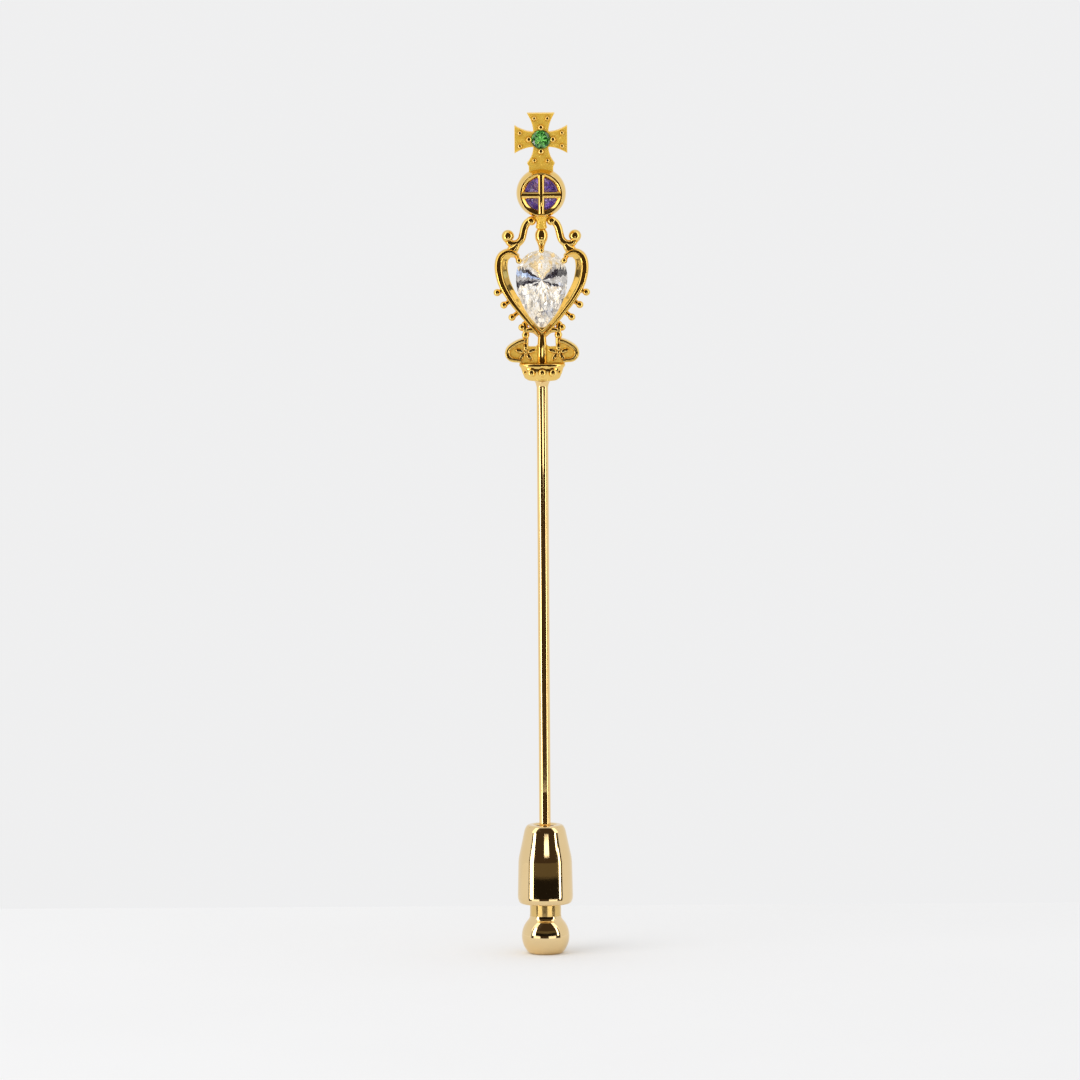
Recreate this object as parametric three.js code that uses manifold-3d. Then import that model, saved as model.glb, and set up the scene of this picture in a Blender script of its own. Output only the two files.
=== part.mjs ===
// A hat pin: a long straight pin with a jewelled sceptre head, and a spring clutch that locks on its point.
// Millimetres, +Z up the pin, the head's front towards -Y.
// The origin is on the pin's axis where the pin leaves the head's collar, which is where the cloth lies.

import * as THREE from "three";
import { ConvexGeometry } from "three/addons/geometries/ConvexGeometry.js";
import { mergeVertices } from "three/addons/utils/BufferGeometryUtils.js";
import Module from "manifold-3d";

const wasm = await Module();
wasm.setup();

// ---- Driving dimensions ----

const GAP = 0.03; // left between two neighbours that are soldered or set together
const RUN = 0.1; // radial room round a part that slides

// The pin.
const PIN_RADIUS = 0.525;
const PIN_LENGTH = 49.95; // from the collar's underside to the point
const POINT_LENGTH = 2.2;
const COLLAR_HEIGHT = 0.6;
const SOCKET_DEPTH = 0.6; // how far the pin runs up into the head's bowl

// The head, measured up from the underside of its bowl and sideways from the pin's axis.
const HEAD_Z = COLLAR_HEIGHT;
const DEPTH_RATIO = 0.62; // the bowl is an oval, this much as deep as it is wide
const BOWL_HEIGHT = 1.2;
const BOWL_TOP_RADIUS = 2.05;
const BOWL_FOOT_RADIUS = 1.4;
const CIRCLET_RADIUS = 2.14;
const CIRCLET_TOP = 1.66;
const BOSS_RADIUS = 0.36;
const BOSS_ORBIT = 1.9;
const BOSS_Z = 0.8;
const BOSS_TURNS = [-68, -31, 0, 31, 68]; // degrees round the bowl from its middle, front and back
const POST_WIDTH = 0.86;
const POST_DEPTH = 0.9;
const POST_TOP = 4.3;
const STRUT_X = 1.5;
const LOBE_DEPTH = 1.5;
const LOBE_WEB = 0.5;
const FLOWER_Z = 2.6;
const PETALS = 5;
const STONE_TIP_Z = 4.8;
const STONE_WIDEST_Z = 9.55;
const STONE_TOP_Z = 12.08;
const STONE_HALF_WIDTH = 2.36;
const ARM_DEPTH = 1.3;
const GRAIN_RADIUS = 0.33;
const CLAW_RADIUS = 0.27;
const SCROLL_RADIUS = 0.32;
const SCROLL_BALL_RADIUS = 0.5;
const BUD_TOP = 14.0;
const BUD_TIP = 12.25;
const ORB_Z = 17.3;
const ORB_RADIUS = 2.28;
const ORB_RIM_RADIUS = 1.87; // where the ball is cut off flat, front and back
const ORB_WINDOW_RADIUS = 1.5;
const ORB_CAVITY_RADIUS = 1.72;
const BAR_WIDTH = 0.62;
const BAR_DROP = 0.08; // the level bar lies this much below the orb's middle
const CROSS_Z = 22.26;
const CROSS_ARM = 2.42;
const CROSS_ARM_HALF_END = 1.28;
const CROSS_ARM_HALF_WAIST = 0.7;
const CROSS_THICKNESS = 1.0;
const GREEN_STONE_RADIUS = 0.85;

// The clutch, measured up from the flat of its knob.
const CLUTCH_Z = -PIN_LENGTH - 2.55;
const KNOB_RADIUS = 2.2;
const KNOB_CENTRE = 1.6;
const NECK_RADIUS = 1.43;
const HOUSING_FOOT = 4.65;
const HOUSING_TOP = 11.95;
const HOUSING_RADIUS = 2.55;
const HOUSING_BORE = 2.12;
const HOUSING_MOUTH = 0.97;
const TAPER_Z = 8.75;
const RING_TOP = 5.2;
const FLANGE_Z = 7.9;
const PLUNGER_TOP = 10.9;
const PLUNGER_BORE = 0.62;
const TAIL_FOOT = 1.15;
const CONE_SLOPE = 0.25; // the locking cone widens this much for each millimetre down
const BALL_RADIUS = 0.5;
const BALL_Z = 9.7;
const BALLS = 3;
const SPRING_WIRE = 0.13;
const SPRING_RADIUS = 1.72;
const SPRING_TURNS = 4.5;

// ---- Materials ----

const gold = new THREE.MeshStandardMaterial({ color: 0xe0a83a, roughness: 0.14, metalness: 1 });
const grainedGold = new THREE.MeshStandardMaterial({ color: 0xd9a030, roughness: 0.38, metalness: 1 });
const paleGold = new THREE.MeshStandardMaterial({ color: 0xe2bd77, roughness: 0.1, metalness: 1 });
const steel = new THREE.MeshStandardMaterial({ color: 0xb9bcc0, roughness: 0.2, metalness: 1 });
const diamond = new THREE.MeshStandardMaterial({ color: 0xf4f2ec, roughness: 0.02, metalness: 0 });
const green = new THREE.MeshStandardMaterial({ color: 0x1f8a3a, roughness: 0.03, metalness: 0 });
const violet = new THREE.MeshStandardMaterial({ color: 0x4a2377, roughness: 0.05, metalness: 0 });

// ---- Solids ----

// A closed geometry as a solid that can be joined and cut, turned right side out if it was inside out.
function solidOf(geometry) {
  const bare = geometry.clone();
  bare.deleteAttribute("normal");
  bare.deleteAttribute("uv");
  const merged = mergeVertices(bare, 1e-4);
  const make = (triVerts) =>
    new wasm.Manifold(
      new wasm.Mesh({ numProp: 3, vertProperties: merged.attributes.position.array, triVerts }),
    );
  const solid = make(new Uint32Array(merged.index.array));
  return solid.volume() < 0 ? make(new Uint32Array(merged.index.array).reverse()) : solid;
}

// A solid back as a geometry with normals.
function geometryOf(solid) {
  const { numProp, numVert, vertProperties, triVerts } = solid.getMesh();
  const positions = new Float32Array(numVert * 3);
  for (let i = 0; i < numVert; i++) {
    positions.set(vertProperties.subarray(i * numProp, i * numProp + 3), i * 3);
  }
  const geometry = new THREE.BufferGeometry();
  geometry.setAttribute("position", new THREE.BufferAttribute(positions, 3));
  geometry.setIndex(new THREE.BufferAttribute(triVerts, 1));
  geometry.computeVertexNormals();
  return geometry;
}

const join = (...solids) => solids.reduce((all, one) => all.add(one));

// Cuts from a solid the room that its neighbours take, with the gap left all round them.
function relieve(solid, ...neighbours) {
  const steps = [[0, 0, 0]];
  for (const axis of [0, 1, 2]) {
    for (const side of [-GAP, GAP]) {
      const step = [0, 0, 0];
      step[axis] = side;
      steps.push(step);
    }
  }
  for (const neighbour of neighbours) {
    for (const step of steps) solid = solid.subtract(neighbour.translate(step));
  }
  return largestPiece(solid);
}

// A cut can leave crumbs: this keeps the main body.
function largestPiece(solid) {
  return solid.decompose().sort((a, b) => b.volume() - a.volume())[0];
}

// A turned solid about +Z from a profile of [radius, height] points.
function turned(profile, segments = 24) {
  const points = profile.map(([radius, height]) => new THREE.Vector2(radius, height));
  return solidOf(new THREE.LatheGeometry(points, segments).rotateX(Math.PI / 2));
}

// A turned solid about the front-to-back axis, its profile in [radius, y].
function turnedFacing(profile, segments = 24) {
  const points = profile.map(([radius, y]) => new THREE.Vector2(radius, y));
  return solidOf(new THREE.LatheGeometry(points, segments));
}

function ball(radius, x, y, z, segments = 10) {
  const geometry = new THREE.SphereGeometry(radius, segments, Math.round(segments * 0.6));
  return solidOf(geometry.rotateX(Math.PI / 2).translate(x, y, z));
}

// A round rod of one radius along a smooth curve through points [x, y, z].
function wire(points, radius, { sides = 8, steps = 16 } = {}) {
  const path = new THREE.CatmullRomCurve3(points.map((p) => new THREE.Vector3(...p)));
  const section = new THREE.Shape().absarc(0, 0, radius, 0, 2 * Math.PI);
  const options = { extrudePath: path, steps, curveSegments: sides / 2, bevelEnabled: false };
  return solidOf(new THREE.ExtrudeGeometry(section, options));
}

// A straight-sided outline in x and z.
const outlineOf = (points) => new THREE.Shape(points.map(([x, z]) => new THREE.Vector2(x, z)));

// An outline in x and z, given depth about a plane y, with its edges eased by a bevel.
function plate(outline, depth, { bevel = 0.1, y = 0, curveSegments = 5 } = {}) {
  const geometry = new THREE.ExtrudeGeometry(outline, {
    depth: depth - 2 * bevel,
    curveSegments,
    bevelEnabled: bevel > 0,
    bevelSize: bevel,
    bevelOffset: -bevel,
    bevelThickness: bevel,
    bevelSegments: 1,
  });
  geometry.rotateX(Math.PI / 2).translate(0, y + depth / 2 - bevel, 0);
  return solidOf(geometry);
}

// The outline of a band in x and z whose half width changes along its middle line.
// Each stop is [x, z, half width].
function bandOutline(stops, samples) {
  const middle = new THREE.SplineCurve(stops.map(([x, z]) => new THREE.Vector2(x, z)));
  const halfWidths = new THREE.SplineCurve(stops.map((s, i) => new THREE.Vector2(i, s[2])));
  const left = [];
  const right = [];
  for (let i = 0; i <= samples; i++) {
    const t = i / samples;
    const point = middle.getPoint(t);
    const along = middle.getTangent(t);
    const across = new THREE.Vector2(-along.y, along.x).multiplyScalar(halfWidths.getPoint(t).y);
    left.push(point.clone().add(across));
    right.unshift(point.clone().sub(across));
  }
  return new THREE.Shape([...left, ...right]);
}

const mirrorX = (solid) => solid.mirror([1, 0, 0]);

// ---- The scene ----

const hatPin = new THREE.Group();
const head = new THREE.Group();
head.position.z = HEAD_Z;
const clutch = new THREE.Group();
clutch.position.z = CLUTCH_Z;
hatPin.add(head, clutch);

function put(group, name, solid, material) {
  const mesh = new THREE.Mesh(geometryOf(solid), material);
  mesh.name = name;
  group.add(mesh);
  return mesh;
}

// ---- The pin ----

function makePin() {
  const point = -PIN_LENGTH;
  const top = HEAD_Z + SOCKET_DEPTH;
  return turned([[0, point], [0.06, point], [PIN_RADIUS, point + POINT_LENGTH], [PIN_RADIUS, top], [0, top]], 16);
}

// A tapered sleeve that joins the pin to the head.
function makeCollar() {
  const bore = PIN_RADIUS + GAP;
  const top = COLLAR_HEIGHT - GAP;
  const profile = [[bore, 0], [0.6, 0], [0.64, 0.3], [0.8, top], [bore, top], [bore, 0]];
  return turned(profile, 16);
}

put(hatPin, "pin", makePin(), gold);
put(hatPin, "collar", makeCollar(), gold);

// ---- The foot of the head: an oval bowl, a circlet, lobes and a post ----

const oval = (solid) => solid.scale([1, DEPTH_RATIO, 1]);
const pinSocket = turned([[0, -1], [PIN_RADIUS + GAP, -1], [PIN_RADIUS + GAP, SOCKET_DEPTH + GAP], [0, SOCKET_DEPTH + GAP]], 16);

const bowl = oval(
  turned([[0, 0], [BOWL_FOOT_RADIUS, 0], [1.68, 0.2], [1.87, 0.6], [BOWL_TOP_RADIUS, BOWL_HEIGHT], [0, BOWL_HEIGHT]]),
).subtract(pinSocket);
put(head, "bowl", bowl, gold);

const circletFoot = BOWL_HEIGHT + GAP;
const circlet = oval(
  turned([[0, circletFoot], [CIRCLET_RADIUS - 0.1, circletFoot], [CIRCLET_RADIUS, circletFoot + 0.1],
    [CIRCLET_RADIUS, CIRCLET_TOP - 0.1], [CIRCLET_RADIUS - 0.1, CIRCLET_TOP], [0, CIRCLET_TOP]]),
);
put(head, "circlet", circlet, gold);

// Round bosses on the bowl, five in front and five behind.
for (const [face, side] of [["front", -1], ["back", 1]]) {
  BOSS_TURNS.forEach((degrees, i) => {
    const turn = THREE.MathUtils.degToRad(degrees);
    const x = BOSS_ORBIT * Math.sin(turn);
    const y = side * DEPTH_RATIO * BOSS_ORBIT * Math.cos(turn);
    const boss = relieve(ball(BOSS_RADIUS, x, y, BOSS_Z), bowl, circlet);
    put(head, `boss_${face}_${i + 1}`, boss, gold);
  });
}

const post = plate(
  outlineOf([
    [-POST_WIDTH / 2, CIRCLET_TOP + GAP],
    [POST_WIDTH / 2, CIRCLET_TOP + GAP],
    [POST_WIDTH / 2, POST_TOP],
    [-POST_WIDTH / 2, POST_TOP],
  ]),
  POST_DEPTH,
  { bevel: 0.18 },
);
put(head, "centre_post", post, gold);

// One lobe's rim, from the strut over the shoulder and round to the circlet.
const lobeMiddle = [
  [-1.75, 3.66, 0.22],
  [-2.5, 3.38, 0.24],
  [-3.04, 2.95, 0.25],
  [-3.16, 2.45, 0.25],
  [-2.84, 2.02, 0.24],
  [-2.2, 1.93, 0.2],
];
const lobeRim = plate(bandOutline(lobeMiddle, 10), LOBE_DEPTH, { bevel: 0.14 });

// One lobe's web, set back from the rim's faces, with five raised petals on its front.
function makeLobeWeb() {
  const foot = CIRCLET_TOP + GAP;
  const web = plate(
    new THREE.Shape()
      .moveTo(-POST_WIDTH / 2 - GAP, foot)
      .lineTo(-POST_WIDTH / 2 - GAP, 3.1)
      .lineTo(-1.25, 3.1)
      .quadraticCurveTo(-1.5, 3.4, -1.6, 3.6)
      .lineTo(-2.6, 3.3)
      .quadraticCurveTo(-3.3, 2.6, -2.8, 2.1)
      .lineTo(-2.2, foot),
    LOBE_WEB,
    { bevel: 0 },
  );
  const petals = [];
  for (let i = 0; i < PETALS; i++) {
    const turn = (i * 2 * Math.PI) / PETALS;
    const petal = ball(0.13, 0, 0, 0, 6).scale([1, 1, 1.9]);
    const place = [-STRUT_X - 0.6 * Math.sin(turn), -LOBE_WEB / 2, FLOWER_Z + 0.52 * Math.cos(turn)];
    petals.push(petal.rotate([0, (-turn * 180) / Math.PI, 0]).translate(place));
  }
  return relieve(join(web, ball(0.2, -STRUT_X, -LOBE_WEB / 2, FLOWER_Z, 8), ...petals), lobeRim);
}
const lobeWeb = makeLobeWeb();

// The beaded strut between a lobe and the frame's arm.
function makeStrut() {
  const bead = ball(0.32, -STRUT_X, -0.1, 4.2, 8);
  return join(wire([[-STRUT_X, 0, 3.66], [-STRUT_X, 0, 4.9]], 0.24, { steps: 1, sides: 6 }), bead);
}

// ---- The frame round the pear stone ----

// One arm, from its curl at the shoulder down to the foot of the stone.
const armMiddle = [
  [-2.3, 11.58, 0.25],
  [-2.95, 11.78, 0.38],
  [-3.58, 11.4, 0.5],
  [-3.76, 10.61, 0.53],
  [-3.66, 9.67, 0.52],
  [-3.38, 8.72, 0.48],
  [-2.63, 7.45, 0.4],
  [-1.72, 6.25, 0.35],
  [-0.72, 5.08, 0.26],
];
const armBand = plate(bandOutline(armMiddle, 18), ARM_DEPTH, { bevel: 0.22 });

// The web between an arm's shoulder and the scroll that stands on it.
const shoulderLink = plate(outlineOf([[-3.0, 11.8], [-2.15, 11.5], [-2.02, 12.35], [-2.9, 12.45]]), 0.8);

// Half of the pear stone's girdle: half widths against height, from the tip up.
const stoneGirdle = [
  [0, STONE_TIP_Z],
  [0.5, 5.2],
  [1.1, 5.89],
  [1.62, 6.7],
  [2.02, 7.6],
  [2.27, 8.5],
  [STONE_HALF_WIDTH, STONE_WIDEST_Z],
  [2.22, 10.5],
  [1.8, 11.22],
  [1.05, 11.84],
  [0, STONE_TOP_Z],
];

// The girdle's whole outline, drawn in towards the widest point by a scale.
function girdleRing(scale, y) {
  const right = stoneGirdle.map(([x, z]) => [x, z]);
  const left = stoneGirdle.slice(1, -1).reverse().map(([x, z]) => [-x, z]);
  return [...right, ...left].map(
    ([x, z]) => new THREE.Vector3(x * scale, y, STONE_WIDEST_Z + (z - STONE_WIDEST_Z) * scale),
  );
}

function makePearStone() {
  const rings = [...girdleRing(0.56, -1.05), ...girdleRing(1, -0.4), ...girdleRing(1, -0.3)];
  const keel = [new THREE.Vector3(0, 1.35, STONE_WIDEST_Z), new THREE.Vector3(0, 0.6, 6.9)];
  return solidOf(new ConvexGeometry([...rings, ...keel]));
}
const pearStone = makePearStone();

// A round rod that runs out of an arm's inner end to a bead on the stone's shoulder.
const claw = join(
  wire([[-2.3, 0.1, 11.5], [-2.2, -0.25, 11.35], [-2.1, -0.5, 11.16]], 0.2, { steps: 4, sides: 6 }),
  ball(CLAW_RADIUS, -2.08, -0.6, 11.1, 8),
);

// The ledge inside the lower half of an arm, which the stone's side rests on.
const seatMiddle = [
  [-2.12, 7.62, 0.12],
  [-1.62, 6.75, 0.15],
  [-0.9, 5.78, 0.15],
  [-0.42, 5.2, 0.12],
];
const seat = plate(bandOutline(seatMiddle, 6), 0.75, { bevel: 0, y: 0.1 });

// The chevron that holds the stone's tip.
const tipClaw = plate(
  outlineOf([[-0.78, 4.88], [-0.62, 5.06], [0, 4.72], [0.62, 5.06], [0.78, 4.88], [0.3, 4.4], [-0.3, 4.4]]),
  1.2,
  { bevel: 0.08, y: -0.1 },
);

// The yoke that ties the arms' feet to the struts and to the post.
const yoke = plate(
  outlineOf([[-1.4, 4.3], [-0.5, POST_TOP + GAP], [0.5, POST_TOP + GAP], [1.4, 4.3], [1.4, 5.1], [-1.4, 5.1]]),
  0.9,
);

// A bead on a short stalk, one of four down an arm's outer edge. Each stop is [bead x, bead z, turn].
const grainStops = [
  [-4.09, 8.12, 20],
  [-3.48, 6.97, 33],
  [-2.74, 5.83, 38],
  [-1.84, 4.9, 40],
];
function makeGrain([x, z, turn]) {
  const lean = THREE.MathUtils.degToRad(turn);
  const foot = [x + 0.6 * Math.cos(lean), 0, z + 0.6 * Math.sin(lean)];
  const stalk = wire([[x, 0, z], foot], 0.15, { steps: 1, sides: 6 });
  return relieve(join(ball(GRAIN_RADIUS, x, 0, z, 8), stalk), armBand);
}
const grains = grainStops.map(makeGrain);

// ---- The scrolls, the bud and the collar under the orb ----

const scrollLine = [
  [-0.72, 0, 14.4],
  [-1.02, 0, 14.6],
  [-1.38, 0, 14.5],
  [-1.6, 0, 14.06],
  [-1.68, 0, 13.56],
  [-1.84, 0, 13.0],
  [-2.2, 0, 12.66],
  [-2.68, 0, 12.6],
  [-2.98, 0, 12.95],
  [-3.07, 0, 13.4],
];
const scrollAndBall = join(
  wire(scrollLine, SCROLL_RADIUS, { steps: 18 }),
  ball(SCROLL_BALL_RADIUS, -3.07, 0, 13.45, 10),
);

// A bud whose stem runs down to a claw over the top of the pear stone.
const budBody = turned([
  [0, BUD_TIP], [0.14, BUD_TIP], [0.22, 12.5], [0.5, 13.1], [0.62, 13.6], [0.58, 13.85], [0.42, BUD_TOP], [0, BUD_TOP],
], 12);
const budClaw = wire([[0, 0, 12.5], [0, -0.35, 12.22], [0, -0.72, 11.98]], 0.16, { steps: 5, sides: 6 });

const orbFoot = turned([
  [0, BUD_TOP + GAP], [0.62, BUD_TOP + GAP], [0.62, 14.4], [0.5, 14.7], [0.75, 15.4], [0, 15.4],
], 12);

// ---- The orb ----

// A ball cut flat front and back. Its window is in front, and the stone goes in from behind.
function makeOrbShell() {
  const cut = Math.sqrt(ORB_RADIUS ** 2 - ORB_RIM_RADIUS ** 2);
  const reach = Math.asin(cut / ORB_RADIUS);
  const profile = [[ORB_WINDOW_RADIUS, -1.05]];
  for (let i = 0; i <= 8; i++) {
    const a = -reach + (i / 8) * 2 * reach;
    profile.push([ORB_RADIUS * Math.cos(a), ORB_RADIUS * Math.sin(a)]);
  }
  profile.push([ORB_CAVITY_RADIUS, cut - 0.1]);
  profile.push([ORB_CAVITY_RADIUS, -0.75]);
  profile.push([ORB_WINDOW_RADIUS, -0.75]);
  profile.push([ORB_WINDOW_RADIUS, -1.05]);
  return turnedFacing(profile, 28).translate([0, 0, ORB_Z]);
}
const orbShell = makeOrbShell();

// Two bars crossed over the window, cut from a shallow dome.
function makeOrbBars() {
  const domeCentre = 1.72;
  const dome = ball(3.4, 0, domeCentre, ORB_Z, 36).subtract(ball(3.08, 0, domeCentre, ORB_Z, 36));
  const bar = (width, height) => {
    const geometry = new THREE.BoxGeometry(width, 1.4, height);
    return solidOf(geometry.translate(0, -1.3, ORB_Z));
  };
  const length = 2 * (ORB_RIM_RADIUS + 0.02);
  const level = bar(length, BAR_WIDTH).translate([0, 0, -BAR_DROP]);
  return relieve(join(bar(BAR_WIDTH, length), level).intersect(dome), orbShell);
}

const amethyst = turnedFacing([
  [0, -1.1], [0.85, -1.1], [1.66, -0.62], [1.66, -0.52], [0.4, 0.55], [0, 0.55],
], 12).translate([0, 0, ORB_Z]);

const backRadius = ORB_CAVITY_RADIUS - GAP;
const orbBack = turnedFacing([
  [0.8, 0.75], [backRadius, 0.75], [backRadius, 1.15], [0.8, 1.15], [0.8, 0.75],
], 28).translate([0, 0, ORB_Z]);

// ---- The cross ----

// Arms that flare to straight ends. The lower one also runs down into the orb.
function crossOutline() {
  const shape = new THREE.Shape();
  const waist = CROSS_ARM_HALF_WAIST;
  const at = (quarter, along, across) => {
    const turn = (quarter * Math.PI) / 2;
    return [
      along * Math.sin(turn) + across * Math.cos(turn),
      CROSS_Z + along * Math.cos(turn) - across * Math.sin(turn),
    ];
  };
  shape.moveTo(...at(0, waist, -waist));
  for (let quarter = 0; quarter < 4; quarter++) {
    const lower = quarter === 2;
    const end = lower ? 2.2 : CROSS_ARM;
    shape.quadraticCurveTo(...at(quarter, 1.5, -waist), ...at(quarter, end, -CROSS_ARM_HALF_END));
    if (lower) {
      shape.lineTo(...at(quarter, 2.5, -1.12));
      shape.lineTo(...at(quarter, 3.0, -1.12));
      shape.lineTo(...at(quarter, 3.0, 1.12));
      shape.lineTo(...at(quarter, 2.5, 1.12));
    }
    shape.lineTo(...at(quarter, end, CROSS_ARM_HALF_END));
    shape.quadraticCurveTo(...at(quarter, 1.5, waist), ...at(quarter, waist, waist));
  }
  return shape;
}

// The plate with its raised grains: a pair near the end of each arm, and four that hold the green stone.
function makeCross() {
  const front = -CROSS_THICKNESS / 2;
  let cross = plate(crossOutline(), CROSS_THICKNESS, { bevel: 0.12 });
  const seat = GREEN_STONE_RADIUS - 0.05;
  const hole = turnedFacing([[0, -2], [seat, -2], [seat, 2], [0, 2]], 16).translate([0, 0, CROSS_Z]);
  cross = cross.subtract(hole);
  for (let quarter = 0; quarter < 4; quarter++) {
    const turn = (quarter * Math.PI) / 2;
    for (const [radius, along, across, segments] of [[0.25, 1.14, 0, 8], [0.2, 1.93, -0.6, 6], [0.2, 1.93, 0.6, 6]]) {
      const x = along * Math.sin(turn) + across * Math.cos(turn);
      const z = CROSS_Z + along * Math.cos(turn) - across * Math.sin(turn);
      cross = cross.add(ball(radius, x, front - 0.04, z, segments));
    }
  }
  return relieve(cross, orbShell);
}

const greenStone = turnedFacing([
  [0, -0.86], [0.45, -0.86], [GREEN_STONE_RADIUS, -0.64], [GREEN_STONE_RADIUS, -0.58], [0.1, 0.1], [0, 0.1],
], 12).translate([0, 0, CROSS_Z]);

// ---- Fitting the head together ----

const scroll = relieve(scrollAndBall, armBand, orbShell, orbFoot);
const arm = relieve(join(armBand, shoulderLink), scroll, pearStone);
const bothArms = [arm, mirrorX(arm)];
const tipClawFitted = relieve(tipClaw, pearStone, ...bothArms, post);
const clawFitted = relieve(claw, scroll, arm, pearStone);
const seatFitted = relieve(seat, arm, pearStone, tipClawFitted);
const yokeFitted = relieve(yoke, ...bothArms, tipClawFitted, pearStone, seatFitted, mirrorX(seatFitted));
const lobeRimFitted = relieve(lobeRim, circlet);
const strut = relieve(makeStrut(), arm, grains[3], yokeFitted, lobeRimFitted);
const bud = relieve(join(budBody, budClaw), pearStone);
const sides = [
  ["left", (solid) => solid],
  ["right", mirrorX],
];
for (const [side, turn] of sides) {
  put(head, `lobe_rim_${side}`, turn(lobeRimFitted), gold);
  put(head, `lobe_web_${side}`, turn(relieve(lobeWeb, circlet)), grainedGold);
  put(head, `strut_${side}`, turn(strut), gold);
  put(head, `frame_arm_${side}`, turn(arm), gold);
  grains.forEach((grain, i) => put(head, `grain_${side}_${i + 1}`, turn(grain), gold));
  put(head, `stone_seat_${side}`, turn(seatFitted), gold);
  put(head, `claw_${side}`, turn(clawFitted), gold);
  put(head, `scroll_${side}`, turn(scroll), gold);
}
put(head, "yoke", yokeFitted, gold);
put(head, "tip_claw", tipClawFitted, gold);
put(head, "pear_stone", pearStone, diamond);
put(head, "bud", bud, gold);
put(head, "orb_foot", relieve(orbFoot, orbShell), gold);
put(head, "orb_shell", orbShell, gold);
put(head, "orb_bars", makeOrbBars(), gold);
put(head, "amethyst", amethyst, violet);
put(head, "orb_back", orbBack, gold);
put(head, "cross", makeCross(), grainedGold);
put(head, "green_stone", greenStone, green);

// ---- The clutch ----

// The locking cone's wall radius at a height, worked out from a ball that touches both cone and pin.
const ballReach = PIN_RADIUS + 0.02 + BALL_RADIUS;
const coneRadius = (z) =>
  ballReach + (BALL_RADIUS + GAP) * Math.hypot(1, CONE_SLOPE) + CONE_SLOPE * (BALL_Z - z);

function makeHousing() {
  const coneTop = 11.2;
  const coneFoot = BALL_Z - (HOUSING_BORE - coneRadius(BALL_Z)) / CONE_SLOPE;
  return turned([
    [2.12, HOUSING_FOOT],
    [2.32, HOUSING_FOOT + 0.1],
    [2.5, HOUSING_FOOT + 0.45],
    [HOUSING_RADIUS, HOUSING_FOOT + 0.95],
    [HOUSING_RADIUS - 0.09, TAPER_Z],
    [1.86, HOUSING_TOP - 0.3],
    [1.62, HOUSING_TOP],
    [HOUSING_MOUTH, HOUSING_TOP],
    [HOUSING_MOUTH, coneTop],
    [coneRadius(coneTop), coneTop],
    [HOUSING_BORE, coneFoot],
    [HOUSING_BORE, HOUSING_FOOT],
  ], 28);
}

function makeClosingRing() {
  const outer = HOUSING_BORE - GAP;
  const inner = NECK_RADIUS + RUN;
  return turned([[inner, HOUSING_FOOT], [outer, HOUSING_FOOT], [outer, RING_TOP], [inner, RING_TOP], [inner, HOUSING_FOOT]], 28);
}

// A tube with a flange for the spring, a tapered nose, and a hole in its wall for each ball.
function makePlunger() {
  const noseRadius = (z) => coneRadius(z) - 0.13;
  const flangeTop = FLANGE_Z + 0.4;
  let plunger = turned([
    [0, TAIL_FOOT],
    [1.0, TAIL_FOOT],
    [1.0, 3.1],
    [NECK_RADIUS, 3.1],
    [NECK_RADIUS, FLANGE_Z],
    [1.95, FLANGE_Z],
    [1.95, flangeTop - 0.2],
    [noseRadius(flangeTop), flangeTop],
    [noseRadius(PLUNGER_TOP), PLUNGER_TOP],
    [PLUNGER_BORE, PLUNGER_TOP],
    [PLUNGER_BORE, 2.2],
    [0, 2.0],
  ], 24);
  for (let i = 0; i < BALLS; i++) {
    const hole = new THREE.CylinderGeometry(BALL_RADIUS + GAP, BALL_RADIUS + GAP, 3, 12);
    hole.rotateZ(Math.PI / 2).translate(1.5, 0, BALL_Z).rotateZ(ballTurn(i));
    plunger = plunger.subtract(solidOf(hole));
  }
  return plunger;
}

function ballTurn(i) {
  return (i * 2 * Math.PI) / BALLS - Math.PI / 2;
}

// A round knob with a flat foot, bored from above for the plunger's tail.
function makeKnob() {
  const profile = [[0, 0]];
  const first = -Math.asin(KNOB_CENTRE / KNOB_RADIUS);
  const last = Math.acos((NECK_RADIUS + 0.02) / KNOB_RADIUS);
  const steps = 12;
  for (let i = 0; i <= steps; i++) {
    const a = first + (i / steps) * (last - first);
    profile.push([KNOB_RADIUS * Math.cos(a), KNOB_CENTRE + KNOB_RADIUS * Math.sin(a)]);
  }
  const top = profile[profile.length - 1][1];
  profile.push([NECK_RADIUS + GAP, top], [NECK_RADIUS + GAP, 3.1 - GAP], [1.0 + GAP, 3.1 - GAP]);
  profile.push([1.0 + GAP, TAIL_FOOT - GAP], [0, TAIL_FOOT - GAP]);
  return turned(profile, 28);
}

// A compression spring between the closing ring and the plunger's flange.
function makeSpring() {
  const foot = RING_TOP + SPRING_WIRE + GAP;
  const rise = FLANGE_Z - SPRING_WIRE - GAP - foot;
  const perTurn = 12;
  const count = SPRING_TURNS * perTurn;
  const points = [];
  for (let i = 0; i <= count; i++) {
    const turn = (i / perTurn) * 2 * Math.PI;
    points.push([SPRING_RADIUS * Math.cos(turn), SPRING_RADIUS * Math.sin(turn), foot + (rise * i) / count]);
  }
  return wire(points, SPRING_WIRE, { sides: 6, steps: count });
}

put(clutch, "clutch_housing", makeHousing(), paleGold);
put(clutch, "closing_ring", makeClosingRing(), paleGold);
put(clutch, "plunger", makePlunger(), paleGold);
put(clutch, "knob", makeKnob(), paleGold);
put(clutch, "spring", makeSpring(), steel);
for (let i = 0; i < BALLS; i++) {
  const turn = ballTurn(i);
  const lockBall = put(clutch, `lock_ball_${i + 1}`, ball(BALL_RADIUS, 0, 0, 0, 10), steel);
  lockBall.position.set(ballReach * Math.cos(turn), ballReach * Math.sin(turn), BALL_Z);
}

export default hatPin;
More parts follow.
